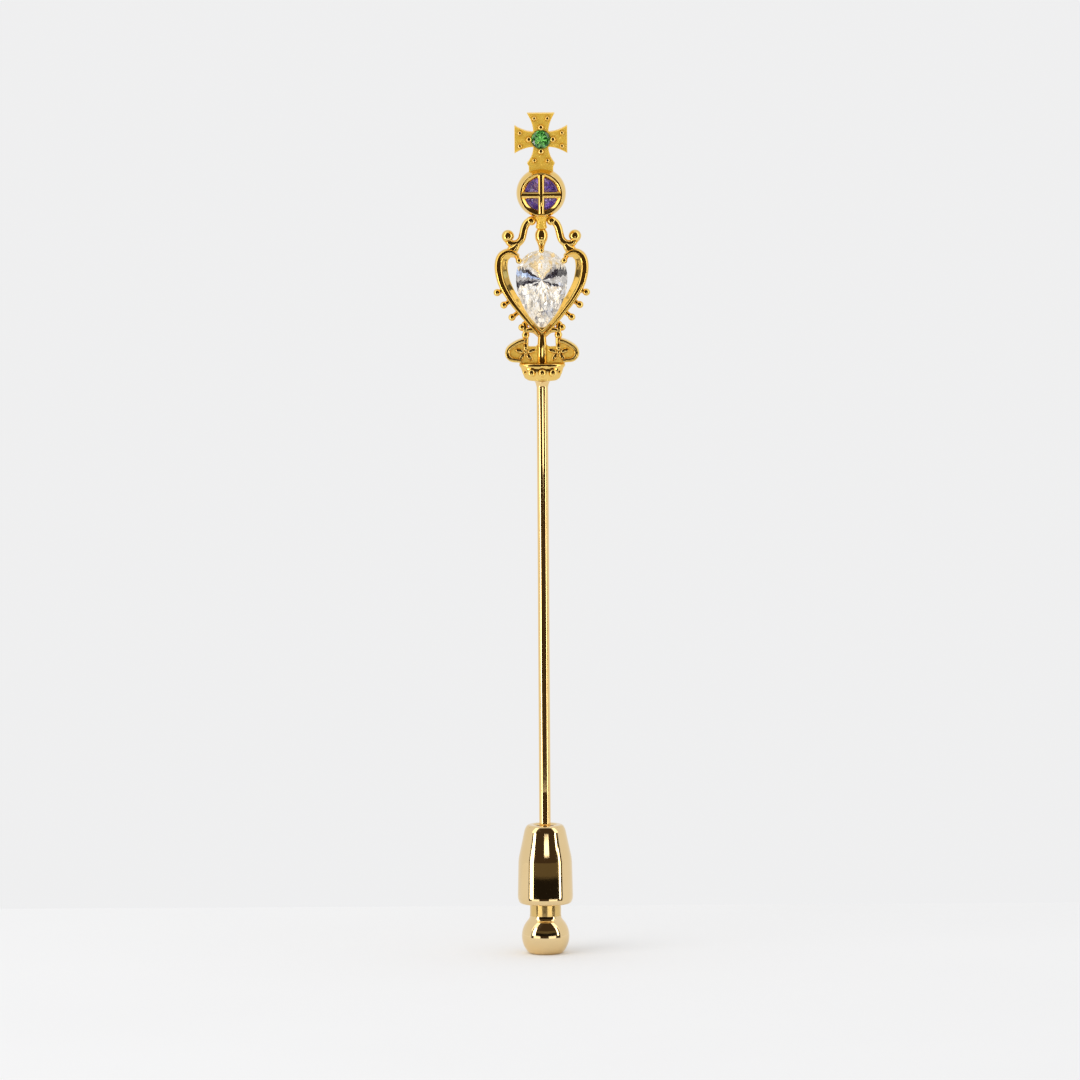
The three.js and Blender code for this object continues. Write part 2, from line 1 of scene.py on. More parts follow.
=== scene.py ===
"""The hat pin's looks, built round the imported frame.

Shapes are in millimetres until they become meshes. Z is up along the wire, and -Y is the front.
"""

import math
import random

import bmesh
import bpy
from mathutils import Matrix, Vector


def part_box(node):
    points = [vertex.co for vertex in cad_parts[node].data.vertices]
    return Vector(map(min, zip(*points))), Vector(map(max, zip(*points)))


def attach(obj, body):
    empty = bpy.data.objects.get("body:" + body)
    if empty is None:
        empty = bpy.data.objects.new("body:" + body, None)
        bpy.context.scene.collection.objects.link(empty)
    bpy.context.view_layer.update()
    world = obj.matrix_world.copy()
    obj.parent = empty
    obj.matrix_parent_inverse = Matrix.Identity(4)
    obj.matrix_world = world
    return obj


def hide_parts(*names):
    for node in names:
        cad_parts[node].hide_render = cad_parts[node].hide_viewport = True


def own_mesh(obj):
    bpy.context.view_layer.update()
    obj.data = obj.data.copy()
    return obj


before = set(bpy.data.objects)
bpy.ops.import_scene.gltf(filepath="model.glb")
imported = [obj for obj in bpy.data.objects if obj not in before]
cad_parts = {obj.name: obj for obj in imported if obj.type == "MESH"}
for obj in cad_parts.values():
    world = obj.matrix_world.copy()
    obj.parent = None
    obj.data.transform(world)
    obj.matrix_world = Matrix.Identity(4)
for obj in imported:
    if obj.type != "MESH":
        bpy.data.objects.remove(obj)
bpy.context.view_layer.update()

MM = 0.001
HEAD_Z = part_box("bowl")[0].z / MM  # the head's own heights count from the underside of its bowl
CLUTCH_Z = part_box("knob")[0].z / MM  # the clutch's own heights count from the flat of its knob
HEAD = Matrix.Translation((0, 0, HEAD_Z))
CLUTCH = Matrix.Translation((0, 0, CLUTCH_Z))
FACING = Matrix.Rotation(math.radians(-90), 4, "X")  # turns a profile's height into depth
TO_FRONT = Matrix.Rotation(math.radians(90), 4, "X")  # points a shape's height at the front
MIRROR = Matrix.Scale(-1, 4, (1, 0, 0))
SIDES = (("left", Matrix.Identity(4)), ("right", MIRROR))


def middle(node):
    """The middle of a CAD node's box, in millimetres."""
    low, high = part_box(node)
    return (low + high) / 2 / MM


# ---- The camera, lights and floor ----

# Metres here, except for the cards' sizes, which are in millimetres
WARM_WHITE = (1.0, 0.97, 0.9)
DARK_ROOM = (0.055, 0.036, 0.022)
BROWN_ROOM = (0.12, 0.093, 0.052)
BLACK_ROOM = (0.014, 0.011, 0.008)
CAMERA_DISTANCE = 1.6
CAMERA_ELEVATION = math.radians(7)
CAMERA_ROLL = math.radians(-0.35)
SENSOR_WIDTH = 36
VIEW_WIDTH = 0.09925
AIM = Vector((-0.0003, 0, -0.01417))
FLOOR_BACK = 0.0305
FLOOR_REACH = 0.7
CARD_STEPS = 24
LOW_CARDS = 15  # radius of the ring of dark cards near the clutch, and its strips stand just inside
LOW_STRIPS = 14.8
FAR_CARDS = 100  # radius of the ring round the whole pin
FAR_STRIPS = 99
LOW_SPAN = (-69, 71)


def add_object(name, data):
    thing = bpy.data.objects.new(name, data)
    bpy.context.scene.collection.objects.link(thing)
    return thing


def aim_at(thing, target, roll=0.0):
    look = (target - thing.location).to_track_quat("-Z", "Y").to_matrix()
    thing.rotation_euler = (look @ Matrix.Rotation(roll, 3, "Z")).to_euler()


def add_camera():
    data = bpy.data.cameras.new("camera")
    data.sensor_width = SENSOR_WIDTH
    data.lens = SENSOR_WIDTH * CAMERA_DISTANCE / VIEW_WIDTH
    data.clip_start = 0.01
    camera = add_object("camera", data)
    away = Vector((0, -math.cos(CAMERA_ELEVATION), math.sin(CAMERA_ELEVATION)))
    camera.location = AIM + away * CAMERA_DISTANCE
    aim_at(camera, AIM, CAMERA_ROLL)
    bpy.context.scene.camera = camera


def add_light(name, location, side, power):
    """A square soft light that faces the object."""
    data = bpy.data.lights.new(name, "AREA")
    data.shape = "SQUARE"
    data.size = side
    data.energy = power
    light = add_object(name, data)
    light.location = location
    aim_at(light, AIM)


def add_world(colour, strength):
    world = bpy.data.worlds.new("world")
    world.use_nodes = True
    background = world.node_tree.nodes["Background"]
    background.inputs["Color"].default_value = (*colour, 1)
    background.inputs["Strength"].default_value = strength
    bpy.context.scene.world = world


def add_floor():
    foot = CLUTCH_Z * MM
    corners = []
    for x, y in ((-1, -FLOOR_REACH), (1, -FLOOR_REACH), (1, FLOOR_BACK), (-1, FLOOR_BACK)):
        corners.append((x * FLOOR_REACH, y, foot))
    mesh = bpy.data.meshes.new("floor")
    mesh.from_pydata(corners, [], [(0, 1, 2, 3)])
    floor = add_object("floor", mesh)
    mesh.materials.append(floor_material())


def floor_material():
    material, tree, inputs = new_material("floor_paper")
    inputs["Roughness"].default_value = 0.75
    inputs["Specular IOR Level"].default_value = 0
    tint(tree, inputs, (0.93, 0.93, 0.93), (0.9, 0.9, 0.9), 25)
    return material


def glowing(name, colour, strength):
    material = bpy.data.materials.new(name)
    material.use_nodes = True
    tree = material.node_tree
    tree.nodes.clear()
    glow = tree.nodes.new("ShaderNodeEmission")
    glow.inputs["Color"].default_value = (*colour, 1)
    glow.inputs["Strength"].default_value = strength
    output = tree.nodes.new("ShaderNodeOutputMaterial")
    tree.links.new(glow.outputs[0], output.inputs["Surface"])
    return material


def add_card(name, azimuth, heights, radius, colour, strength, seen_in_stones=False):
    """An upright curved card that only reflections see.

    Azimuth 0 is at the camera, and heights count from the floor.
    """
    verts = []
    for i in range(CARD_STEPS + 1):
        turn = math.radians(azimuth[0] + (azimuth[1] - azimuth[0]) * i / CARD_STEPS)
        for height in heights:
            place = (radius * math.sin(turn), -radius * math.cos(turn), CLUTCH_Z + height)
            verts.append(Vector(place) * MM)
    mesh = bpy.data.meshes.new(name)
    mesh.from_pydata(verts, [], [(i, i + 2, i + 3, i + 1) for i in range(0, 2 * CARD_STEPS, 2)])
    mesh.materials.append(glowing(name, colour, strength))
    card = add_object(name, mesh)
    card.visible_camera = False
    card.visible_diffuse = False
    card.visible_shadow = False
    card.visible_transmission = seen_in_stones


# ---- Materials: colours are light and dark tones, and noise scales count waves per metre ----

TONE_SCALE = 700
LATHE_RINGS = 5000


def new_material(name):
    material = bpy.data.materials.new(name)
    material.use_nodes = True
    return material, material.node_tree, material.node_tree.nodes["Principled BSDF"].inputs


def noise(tree, scale, detail=3.0):
    """Noise over the object's own space, so that it stays put on the piece."""
    place = tree.nodes.new("ShaderNodeTexCoord")
    texture = tree.nodes.new("ShaderNodeTexNoise")
    texture.inputs["Scale"].default_value = scale
    texture.inputs["Detail"].default_value = detail
    tree.links.new(place.outputs["Object"], texture.inputs["Vector"])
    return texture.outputs["Fac"]


def tint(tree, inputs, light, dark, scale):
    """Colour that drifts between two tones."""
    mix = tree.nodes.new("ShaderNodeMix")
    mix.data_type = "RGBA"
    mix.inputs["A"].default_value = (*light, 1)
    mix.inputs["B"].default_value = (*dark, 1)
    tree.links.new(noise(tree, scale), mix.inputs["Factor"])
    tree.links.new(mix.outputs["Result"], inputs["Base Color"])


def vary_roughness(tree, inputs, limits, scale, detail):
    """Roughness between two limits, from noise, which stays between 0.3 and 0.7 for the most part."""
    value = noise(tree, scale, detail)
    stretch = tree.nodes.new("ShaderNodeMapRange")
    stretch.inputs["From Min"].default_value = 0.3
    stretch.inputs["From Max"].default_value = 0.7
    stretch.inputs["To Min"].default_value = limits[0]
    stretch.inputs["To Max"].default_value = limits[1]
    tree.links.new(value, stretch.inputs["Value"])
    tree.links.new(stretch.outputs["Result"], inputs["Roughness"])


def bump(tree, height, distance, below=None):
    node = tree.nodes.new("ShaderNodeBump")
    node.inputs["Distance"].default_value = distance
    tree.links.new(height, node.inputs["Height"])
    if below:
        tree.links.new(below, node.inputs["Normal"])
    return node.outputs["Normal"]


def metal(name, light, dark, roughness, waves, grain):
    """Polished metal: tone, roughness, a hand finisher's waves, and a fine grain on top."""
    material, tree, inputs = new_material(name)
    inputs["Metallic"].default_value = 1
    tint(tree, inputs, light, dark, TONE_SCALE)
    vary_roughness(tree, inputs, roughness, 2600, 5)
    wavy = bump(tree, noise(tree, 900, 1), waves)
    fine = bump(tree, noise(tree, 14000, 4), grain, wavy)
    tree.links.new(fine, inputs["Normal"])
    return material


def turned_metal(name, light, dark, roughness, ridge):
    """Metal with the fine rings that a lathe leaves round Z."""
    material, tree, inputs = new_material(name)
    inputs["Metallic"].default_value = 1
    tint(tree, inputs, light, dark, TONE_SCALE)
    vary_roughness(tree, inputs, roughness, 3000, 4)
    place = tree.nodes.new("ShaderNodeTexCoord")
    rings = tree.nodes.new("ShaderNodeTexWave")
    rings.bands_direction = "Z"
    rings.inputs["Scale"].default_value = LATHE_RINGS
    rings.inputs["Distortion"].default_value = 0.6
    tree.links.new(place.outputs["Object"], rings.inputs["Vector"])
    tree.links.new(bump(tree, rings.outputs["Fac"], ridge), inputs["Normal"])
    return material


def crown(name, light, dark, ior):
    """The clear upper side of a cut stone, whose colour drifts a little."""
    material, tree, inputs = new_material(name)
    inputs["Transmission Weight"].default_value = 1
    inputs["IOR"].default_value = ior
    inputs["Roughness"].default_value = 0
    tint(tree, inputs, light, dark, 900)
    return material


def facet(name, colour, glow):
    """One tone of a stone's lower facets, which is a painted reflection, painted light or painted shade.
    The glow is painted light, standing in for the light that they gather and throw back.
    """
    material, tree, inputs = new_material(name)
    inputs["Metallic"].default_value = 0.7
    inputs["Roughness"].default_value = 0.04
    tint(tree, inputs, colour, tuple(c * 0.85 for c in colour), 2500)
    inputs["Emission Color"].default_value = (*colour, 1)
    inputs["Emission Strength"].default_value = glow
    return material


def stone_tones(name, light, dark, ior, glow, tones):
    """The materials of a cut stone: its clear crown, then each tone of its lower facets, in which
    reflections, light and shade are painted.
    """
    materials = [crown(name, light, dark, ior)]
    for tone, colour in tones.items():
        materials.append(facet(f"{name}_{tone}", colour, glow))
    return materials


def grained(name, light, dark, metallic, roughness, grain):
    """Gold under a fine grained finish, which scatters light as well as reflecting it."""
    material, tree, inputs = new_material(name)
    inputs["Metallic"].default_value = metallic
    tint(tree, inputs, light, dark, 4500)
    vary_roughness(tree, inputs, roughness, 2600, 5)
    coarse = bump(tree, noise(tree, 1900, 3), grain)
    fine = bump(tree, noise(tree, 9000, 4), 4e-6, coarse)
    tree.links.new(fine, inputs["Normal"])
    return material


GOLD = metal("gold", (0.93, 0.645, 0.2), (0.87, 0.57, 0.14), (0.05, 0.09), 1e-6, 1e-8)
# A deeper, more saturated copy of the gold for the frame's arms: painted shade and painted reflection of
# the stone on their inner faces.
SHADED_ARM_GOLD = metal("shaded_arm_gold", (0.94, 0.62, 0.16), (0.87, 0.54, 0.11), (0.06, 0.1), 1.2e-6, 1e-8)
WIRE_GOLD = metal("wire_gold", (0.94, 0.68, 0.31), (0.88, 0.61, 0.25), (0.05, 0.09), 1.4e-6, 1e-8)
SATIN_GOLD = grained("satin_gold", (1.0, 0.69, 0.11), (0.96, 0.57, 0.05), 0.14, (0.18, 0.3), 3e-6)
GRAINED_GOLD = grained("grained_gold", (1.0, 0.7, 0.13), (0.95, 0.53, 0.03), 0.24, (0.14, 0.26), 6e-5)
PALE_GOLD = turned_metal("pale_gold", (0.86, 0.655, 0.36), (0.82, 0.61, 0.31), (0.04, 0.08), 1.5e-7)
TURNED_GOLD = turned_metal("turned_pale_gold", (0.78, 0.55, 0.22), (0.73, 0.5, 0.18), (0.12, 0.2), 5e-7)
STEEL = metal("steel", (0.75, 0.76, 0.78), (0.66, 0.67, 0.69), (0.12, 0.22), 5e-7, 5e-8)
# Painted reflections: the diamond's lower facets take white, cream, straw, grey, dark and blue tones.
DIAMOND = stone_tones("diamond", (1.0, 0.995, 0.985), (0.985, 0.98, 0.96), 1.6, 0.31, {
    "white": (0.96, 0.94, 0.91), "cream": (0.95, 0.87, 0.74), "straw": (0.95, 0.74, 0.42),
    "grey": (0.46, 0.44, 0.44), "dark": (0.05, 0.045, 0.06), "blue": (0.5, 0.64, 0.98),
})
# Painted light and painted shade: the green and violet stones' lower facets are light, middle and deep
# copies of one colour.
GREEN_STONE = stone_tones("green_stone", (0.8, 0.97, 0.84), (0.7, 0.93, 0.76), 1.6, 0.12, {
    "light": (0.55, 0.98, 0.4), "middle": (0.14, 0.46, 0.13), "deep": (0.03, 0.15, 0.035),
})
VIOLET_STONE = stone_tones("violet_stone", (0.9, 0.86, 0.98), (0.85, 0.8, 0.97), 1.5, 0.12, {
    "light": (0.72, 0.58, 0.92), "middle": (0.46, 0.32, 0.74), "deep": (0.24, 0.14, 0.48),
})

# ---- Shapes, each a list of points and a list of faces ----

ARC_STEPS = 6
SEGMENTS = 96
BEVEL_STEPS = 3
NEAR_ZERO = 1e-4  # a share or a half width that stands for a point
MERGE_DISTANCE = 1e-7  # metres


def smooth_between(a, b, c, d, t):
    """The place at share t from b to c, on the smooth curve through all four points."""
    bend = 2 * a - 5 * b + 4 * c - d
    twist = 3 * b - a - 3 * c + d
    return ((2 * b) + (c - a) * t + bend * t**2 + twist * t**3) / 2


def spline(stops, samples):
    """Points on a smooth curve through the stops, spaced evenly from stop to stop."""
    points = []
    last = len(stops) - 1
    for i in range(samples + 1):
        place = last * i / samples
        at = min(int(place), last - 1)
        near = [Vector(stops[min(max(at + k, 0), last)]) for k in (-1, 0, 1, 2)]
        points.append(smooth_between(*near, place - at))
    return points


def rounded(corners):
    """A profile whose corners [radius, height, cut] are rounded from a cut's length before to one after."""
    points = []
    for i, (radius, height, cut) in enumerate(corners):
        here = Vector((radius, height))
        if not cut:
            points.append(here)
            continue
        start = here + (Vector(corners[i - 1][:2]) - here).normalized() * cut
        end = here + (Vector(corners[(i + 1) % len(corners)][:2]) - here).normalized() * cut
        for k in range(ARC_STEPS + 1):
            t = k / ARC_STEPS
            points.append(start * (1 - t) ** 2 + here * 2 * t * (1 - t) + end * t**2)
    return points


def skin(rows, sides, ring=False):
    """The faces between rows of points that each go once round. A ring's last row joins its first."""
    faces = []
    for i in range(rows if ring else rows - 1):
        j = (i + 1) % rows
        for k in range(sides):
            n = (k + 1) % sides
            faces.append((i * sides + k, i * sides + n, j * sides + n, j * sides + k))
    return faces


def revolve(profile, segments=SEGMENTS, ring=False):
    """A profile of [radius, height] turned about +Z. A ring's profile closes on itself."""
    verts = []
    for radius, height in profile:
        for k in range(segments):
            turn = 2 * math.pi * k / segments
            verts.append(Vector((radius * math.cos(turn), radius * math.sin(turn), height)))
    return verts, skin(len(profile), segments, ring)


def oval(angle, power):
    """A point on a rounded section: power 2 is an ellipse, less is sharper, more is squarer."""
    across, deep = math.cos(angle), math.sin(angle)
    reach = 2 / power
    return math.copysign(abs(across) ** reach, across), math.copysign(abs(deep) ** reach, deep)


def sweep(centres, sizes, section, sides=32):
    """Rows of points round a curve. Each size is [half width across the curve, half depth]."""
    verts = []
    count = len(centres)
    for i, (centre, (wide, deep)) in enumerate(zip(centres, sizes)):
        along = (centres[min(i + 1, count - 1)] - centres[max(i - 1, 0)]).normalized()
        back = (Vector((0, 1, 0)) - along * along.y).normalized()
        across = back.cross(along)
        for k in range(sides):
            u, v = section(2 * math.pi * k / sides)
            verts.append(centre + across * (u * wide) + back * (v * deep))
    return verts, skin(count, sides)


def ellipse(angle):
    return oval(angle, 2)


def band(stops, depth, section, samples=80, end=0.5):
    """A bar in the plane of x and z. Each stop is [x, z, half width], and its ends are rounded."""
    points = spline(stops, samples)
    centres = [Vector((p.x, 0, p.y)) for p in points]
    halves = [p.z for p in points]
    return sweep(*round_ends(centres, [(h, depth / 2) for h in halves], end), section)


def round_ends(centres, sizes, end=1.0):
    """Adds rings past both ends that shrink to a point. end is how far they reach, in half widths."""
    caps = []
    for tip, inner in ((0, 1), (-1, -2)):
        out = (centres[tip] - centres[inner]).normalized()
        wide, deep = sizes[tip]
        cap = []
        for k in range(1, ARC_STEPS + 1):
            turn = math.pi / 2 * k / ARC_STEPS
            shrink = max(math.cos(turn), NEAR_ZERO)
            place = centres[tip] + out * (end * wide * math.sin(turn))
            cap.append((place, (wide * shrink, deep * shrink)))
        caps.append(cap)
    whole = caps[0][::-1] + list(zip(centres, sizes)) + caps[1]
    return [c for c, _ in whole], [s for _, s in whole]


def rod(stops, radius, beads=()):
    """A round rod with domed ends, and balls at some of its stops. Each bead is [stop number, radius]."""
    per_stop = 40
    dome_steps = 16
    points = spline(stops, per_stop * (len(stops) - 1))
    reach = [0.0]
    for a, b in zip(points, points[1:]):
        reach.append(reach[-1] + (b - a).length)
    length = reach[-1]
    balls = [(reach[per_stop * stop], ball) for stop, ball in beads] + [(0.0, radius), (length, radius)]
    first = max(ball for at, ball in balls if at == 0.0)
    last = max(ball for at, ball in balls if at == length)
    before = (points[0] - points[1]).normalized()
    after = (points[-1] - points[-2]).normalized()
    steps = [math.sin(math.pi / 2 * k / dome_steps) for k in range(1, dome_steps + 1)]
    places = [(points[0] + before * (first * t), -first * t) for t in reversed(steps)]
    places += list(zip(points, reach))
    places += [(points[-1] + after * (last * t), length + last * t) for t in steps]
    sizes = []
    for _, at in places:
        size = radius if 0 <= at <= length else NEAR_ZERO
        for middle_at, ball in balls:
            size = max(size, math.sqrt(max(ball**2 - (at - middle_at) ** 2, 0)))
        sizes.append((size, size))
    return sweep([centre for centre, _ in places], sizes, ellipse, 28)


def final_mesh(thing):
    """A copy of an object's mesh as its curve settings or modifiers leave it."""
    seen = thing.evaluated_get(bpy.context.evaluated_depsgraph_get())
    return bpy.data.meshes.new_from_object(seen)


def edging(outline, radius, y):
    """A round wire laid along a closed outline."""
    curve = bpy.data.curves.new("edging", "CURVE")
    curve.dimensions = "3D"
    curve.bevel_depth = radius
    return curve_shape(curve, outline, y)


def curve_shape(curve, outline, y=0.0):
    """The mesh of a curve along an outline of [x, z], stood up so that its own height is Z."""
    curve.bevel_resolution = BEVEL_STEPS
    line = curve.splines.new("POLY")
    line.points.add(len(outline) - 1)
    for point, (x, z) in zip(line.points, outline):
        point.co = (x, z, -y, 1)
    line.use_cyclic_u = True
    shape = add_object(curve.name, curve)
    mesh = final_mesh(shape)
    verts = [Vector((v.co.x, -v.co.z, v.co.y)) for v in mesh.vertices]
    faces = [tuple(f.vertices) for f in mesh.polygons]
    bpy.data.objects.remove(shape)
    bpy.data.curves.remove(curve)
    bpy.data.meshes.remove(mesh)
    return verts, faces


def slab(outline, depth, edge):
    """A plate in the plane of x and z with its edges rounded."""
    curve = bpy.data.curves.new("slab", "CURVE")
    curve.dimensions = "2D"
    curve.fill_mode = "BOTH"
    curve.extrude = depth / 2 - edge
    curve.bevel_depth = edge
    curve.offset = -edge
    return curve_shape(curve, outline)


def hull(points):
    """The faceted solid whose corners are the points."""
    shape = bmesh.new()
    for point in points:
        shape.verts.new(point)
    bmesh.ops.convex_hull(shape, input=shape.verts)
    bmesh.ops.delete(shape, geom=[v for v in shape.verts if not v.link_faces], context="VERTS")
    bmesh.ops.dissolve_limit(shape, angle_limit=math.radians(0.5), verts=shape.verts, edges=shape.edges)
    shape.verts.index_update()
    verts = [v.co.copy() for v in shape.verts]
    faces = [tuple(v.index for v in f.verts) for f in shape.faces]
    shape.free()
    return verts, faces


def moved(shape, matrix):
    verts, faces = shape
    return [matrix @ v for v in verts], faces


def piece(name, shapes, material, nodes, body="pin", place=HEAD, sharp=40):
    """One piece of the object, made of closed shapes, which rides on a body and stands for its CAD nodes.

    Edges that turn by more degrees than sharp stay crisp.
    """
    form = bmesh.new()
    for verts, faces in shapes:
        made = [form.verts.new((place @ v) * MM) for v in verts]
        for face in faces:
            form.faces.new([made[i] for i in face])
    bmesh.ops.remove_doubles(form, verts=form.verts, dist=MERGE_DISTANCE)
    bmesh.ops.dissolve_degenerate(form, edges=form.edges, dist=MERGE_DISTANCE / 10)
    bmesh.ops.recalc_face_normals(form, faces=form.faces)
    mesh = bpy.data.meshes.new(name)
    form.to_mesh(mesh)
    form.free()
    mesh.shade_smooth()
    mesh.set_sharp_from_angle(angle=math.radians(sharp))
    for one in material if isinstance(material, list) else [material]:
        mesh.materials.append(one)
    thing = add_object(name, mesh)
    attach(thing, body)
    if nodes:
        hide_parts(*nodes)
    return thing


def gold_piece(name, shape, nodes, sharp=40):
    return piece(name, [shape], GOLD, nodes, sharp=sharp)


# ---- The pin and the foot of the head ----

PIN_RADIUS = 0.525
POINT_LENGTH = 2.2
DEPTH_RATIO = 0.62
OVAL = Matrix.Diagonal((1, DEPTH_RATIO, 1, 1))
BOWL_HEIGHT = 1.2
CIRCLET_TOP = 1.66
BOSS_RADIUS = 0.39
BOSS_ORBIT = 1.9
BOSS_Z = 0.8
BOSS_TURNS = (-62, -31, 0, 31, 62)
OUTER_BOSS_SCALE = 0.55
OUTER_BOSS_INSET = 0.12
POST_HALF_WIDTH = 0.43
POST_TOP = 4.3
STRUT_X = 1.5
LOBE_DEPTH = 1.5
LOBE_WEB = 0.5
FLOWER_Z = 2.6
PETALS = 5
PETAL_REACH = 0.39
PETAL_THICKNESS = 0.2


def make_pin():
    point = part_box("pin")[0].z / MM
    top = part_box("pin")[1].z / MM
    profile = rounded([
        (0, point, 0), (0.07, point, 0.05), (0.3, point + 1.0, 0.5),
        (PIN_RADIUS, point + POINT_LENGTH, 0.7), (PIN_RADIUS, top, 0), (0, top, 0),
    ])
    piece("pin_wire", [revolve(profile)], WIRE_GOLD, ["pin"], place=Matrix.Identity(4))


def make_collar():
    bore = PIN_RADIUS + 0.01
    profile = spline([(bore + 0.008, 0.02), (0.57, 0.16), (0.63, 0.36), (0.74, 0.52), (0.86, 0.6)], 24)
    shape = revolve([(bore, 0.6), (bore, 0.02), *profile], ring=True)
    piece("collar_cone", [shape], WIRE_GOLD, ["collar"], place=Matrix.Identity(4))


def make_bowl():
    profile = rounded([
        (0, 0, 0), (1.34, 0, 0.12), (1.47, 0.12, 0.06), (1.6, 0.18, 0.1), (1.8, 0.62, 0.3),
        (1.98, BOWL_HEIGHT, 0.05), (0, BOWL_HEIGHT, 0),
    ])
    gold_piece("bowl_cup", moved(revolve(profile), OVAL), ["bowl"])
    foot = BOWL_HEIGHT - 0.02
    band_profile = rounded([
        (0, foot, 0), (2.0, foot, 0.03), (2.1, 1.33, 0.08), (2.14, 1.45, 0.09), (2.06, 1.6, 0.09),
        (1.86, CIRCLET_TOP, 0.08), (1.7, CIRCLET_TOP - 0.04, 0.04), (0, CIRCLET_TOP - 0.04, 0),
    ])
    gold_piece("circlet_band", moved(revolve(band_profile), OVAL), ["circlet"])


def dome(radius):
    """A boss along +Z, on a foot a little wider than itself."""
    skirt = 0.05
    steps = 12
    profile = [(0, -radius), (radius * 1.12, -radius), (radius * 1.1, -0.3 * radius)]
    for k in range(steps + 1):
        turn = math.pi / 2 * k / steps
        profile.append((radius * math.cos(turn), skirt + radius * 0.92 * math.sin(turn)))
    return revolve(profile, 40)


def make_bosses():
    for face, side in (("front", -1), ("back", 1)):
        for i, degrees in enumerate(BOSS_TURNS):
            turn = math.radians(degrees)
            outer = abs(degrees) == max(BOSS_TURNS)
            orbit = BOSS_ORBIT - (OUTER_BOSS_INSET if outer else 0)
            radius = BOSS_RADIUS * (OUTER_BOSS_SCALE if outer else 1)
            at = Vector((orbit * math.sin(turn), side * DEPTH_RATIO * orbit * math.cos(turn), BOSS_Z))
            out = Vector((math.sin(turn), side * math.cos(turn) / DEPTH_RATIO, -0.25)).normalized()
            lean = out.to_track_quat("Z", "Y").to_matrix().to_4x4()
            shape = moved(dome(radius), Matrix.Translation(at) @ lean)
            gold_piece(f"{face}_boss_{i + 1}", shape, [f"boss_{face}_{i + 1}"])


def make_post():
    half = POST_HALF_WIDTH
    waist = half * 0.86
    right = [(half, CIRCLET_TOP - 0.1), (half, 3.4), (waist, 4.05), (half, POST_TOP + 0.1)]
    outline = [(-half, CIRCLET_TOP - 0.1), *right, *[(-x, z) for x, z in reversed(right[1:])]]
    gold_piece("post_bar", slab(outline, 0.96, 0.36), ["centre_post"], sharp=60)


# Each stop of a rim, arm, shoulder or ledge is [x, z, half width]
LOBE_RIM = [
    (-1.62, 3.72, 0.24), (-2.0, 3.62, 0.24), (-2.5, 3.38, 0.25), (-3.02, 2.97, 0.26),
    (-3.16, 2.45, 0.26), (-2.84, 2.02, 0.25), (-2.2, 1.9, 0.22), (-1.9, 1.86, 0.18),
]


def square_section(angle):
    return oval(angle, 3.6)


def web_outline():
    corner = spline([(-1.2, 3.15), (-1.34, 3.3), (-1.5, 3.62), (-1.9, 3.6)], 12)
    outer = spline([(-2.6, 3.3), (-3.1, 2.8), (-3.1, 2.4), (-2.75, 2.0), (-2.2, 1.75)], 16)
    return [(-0.4, 1.62), (-0.4, 3.32), (-0.62, 3.14), *corner, *outer, (-2.1, 1.62)]


def petal(reach, thick):
    """A long grain, its middle at the origin and its length along Z."""
    steps = 16
    profile = []
    for k in range(steps + 1):
        turn = math.pi * k / steps
        profile.append((thick * math.sin(turn) ** 0.8, -reach * math.cos(turn)))
    return revolve(profile, 20)


def flower():
    """A bead with petals round it, which stand a little proud of the lobe's web."""
    front = -LOBE_WEB / 2
    heart = Matrix.Translation((-STRUT_X, front, FLOWER_Z))
    shapes = [moved(dome(0.2), heart @ TO_FRONT)]
    for i in range(PETALS):
        turn = 2 * math.pi * i / PETALS
        at = Vector((-STRUT_X - 0.6 * math.sin(turn), front - 0.12, FLOWER_Z + 0.52 * math.cos(turn)))
        flatten = Matrix.Diagonal((1.1, 0.75, 1, 1))
        lie = Matrix.Translation(at) @ Matrix.Rotation(-turn, 4, "Y") @ flatten
        shapes.append(moved(petal(PETAL_REACH, PETAL_THICKNESS), lie))
    return shapes


def make_lobes():
    for side, turn in SIDES:
        rim = band(LOBE_RIM, LOBE_DEPTH, square_section)
        gold_piece(f"{side}_lobe_rim", moved(rim, turn), [f"lobe_rim_{side}"])
        plate = moved(slab(web_outline(), LOBE_WEB, 0.05), turn)
        web = piece(f"{side}_lobe_web", [plate], SATIN_GOLD, [f"lobe_web_{side}"])
        roughen(web, 0.035, 0.003, 0.3)
        piece(f"{side}_flower", [moved(s, turn) for s in flower()], GOLD, [])


def drill(thing, shape):
    """Cuts a closed shape out of a piece."""
    verts, faces = shape
    tool = add_object("tool", bpy.data.meshes.new("tool"))
    tool.data.from_pydata([v * MM for v in verts], [], faces)
    form = bmesh.new()
    form.from_mesh(tool.data)
    bmesh.ops.remove_doubles(form, verts=form.verts, dist=MERGE_DISTANCE)
    bmesh.ops.recalc_face_normals(form, faces=form.faces)
    form.to_mesh(tool.data)
    form.free()
    cut = thing.modifiers.new("cut", "BOOLEAN")
    cut.operation = "DIFFERENCE"
    cut.object = tool
    settle(thing)
    bpy.data.objects.remove(tool)


def settle(thing):
    """Turns a piece's modifiers into its mesh."""
    bpy.context.view_layer.update()
    mesh = final_mesh(thing)
    mesh.name = thing.name
    thing.modifiers.clear()
    thing.data = mesh


def roughen(thing, voxel, height, size):
    """Gives a plate one even skin, and lifts and sinks it as a grained surface is."""
    skin = thing.modifiers.new("skin", "REMESH")
    skin.mode = "VOXEL"
    skin.voxel_size = voxel * MM
    skin.use_smooth_shade = True
    grain = bpy.data.textures.new("grain", "CLOUDS")
    grain.noise_scale = size * MM
    grain.noise_depth = 1
    lift = thing.modifiers.new("lift", "DISPLACE")
    lift.texture = grain
    lift.strength = height * 2 * MM
    lift.mid_level = 0.5
    settle(thing)


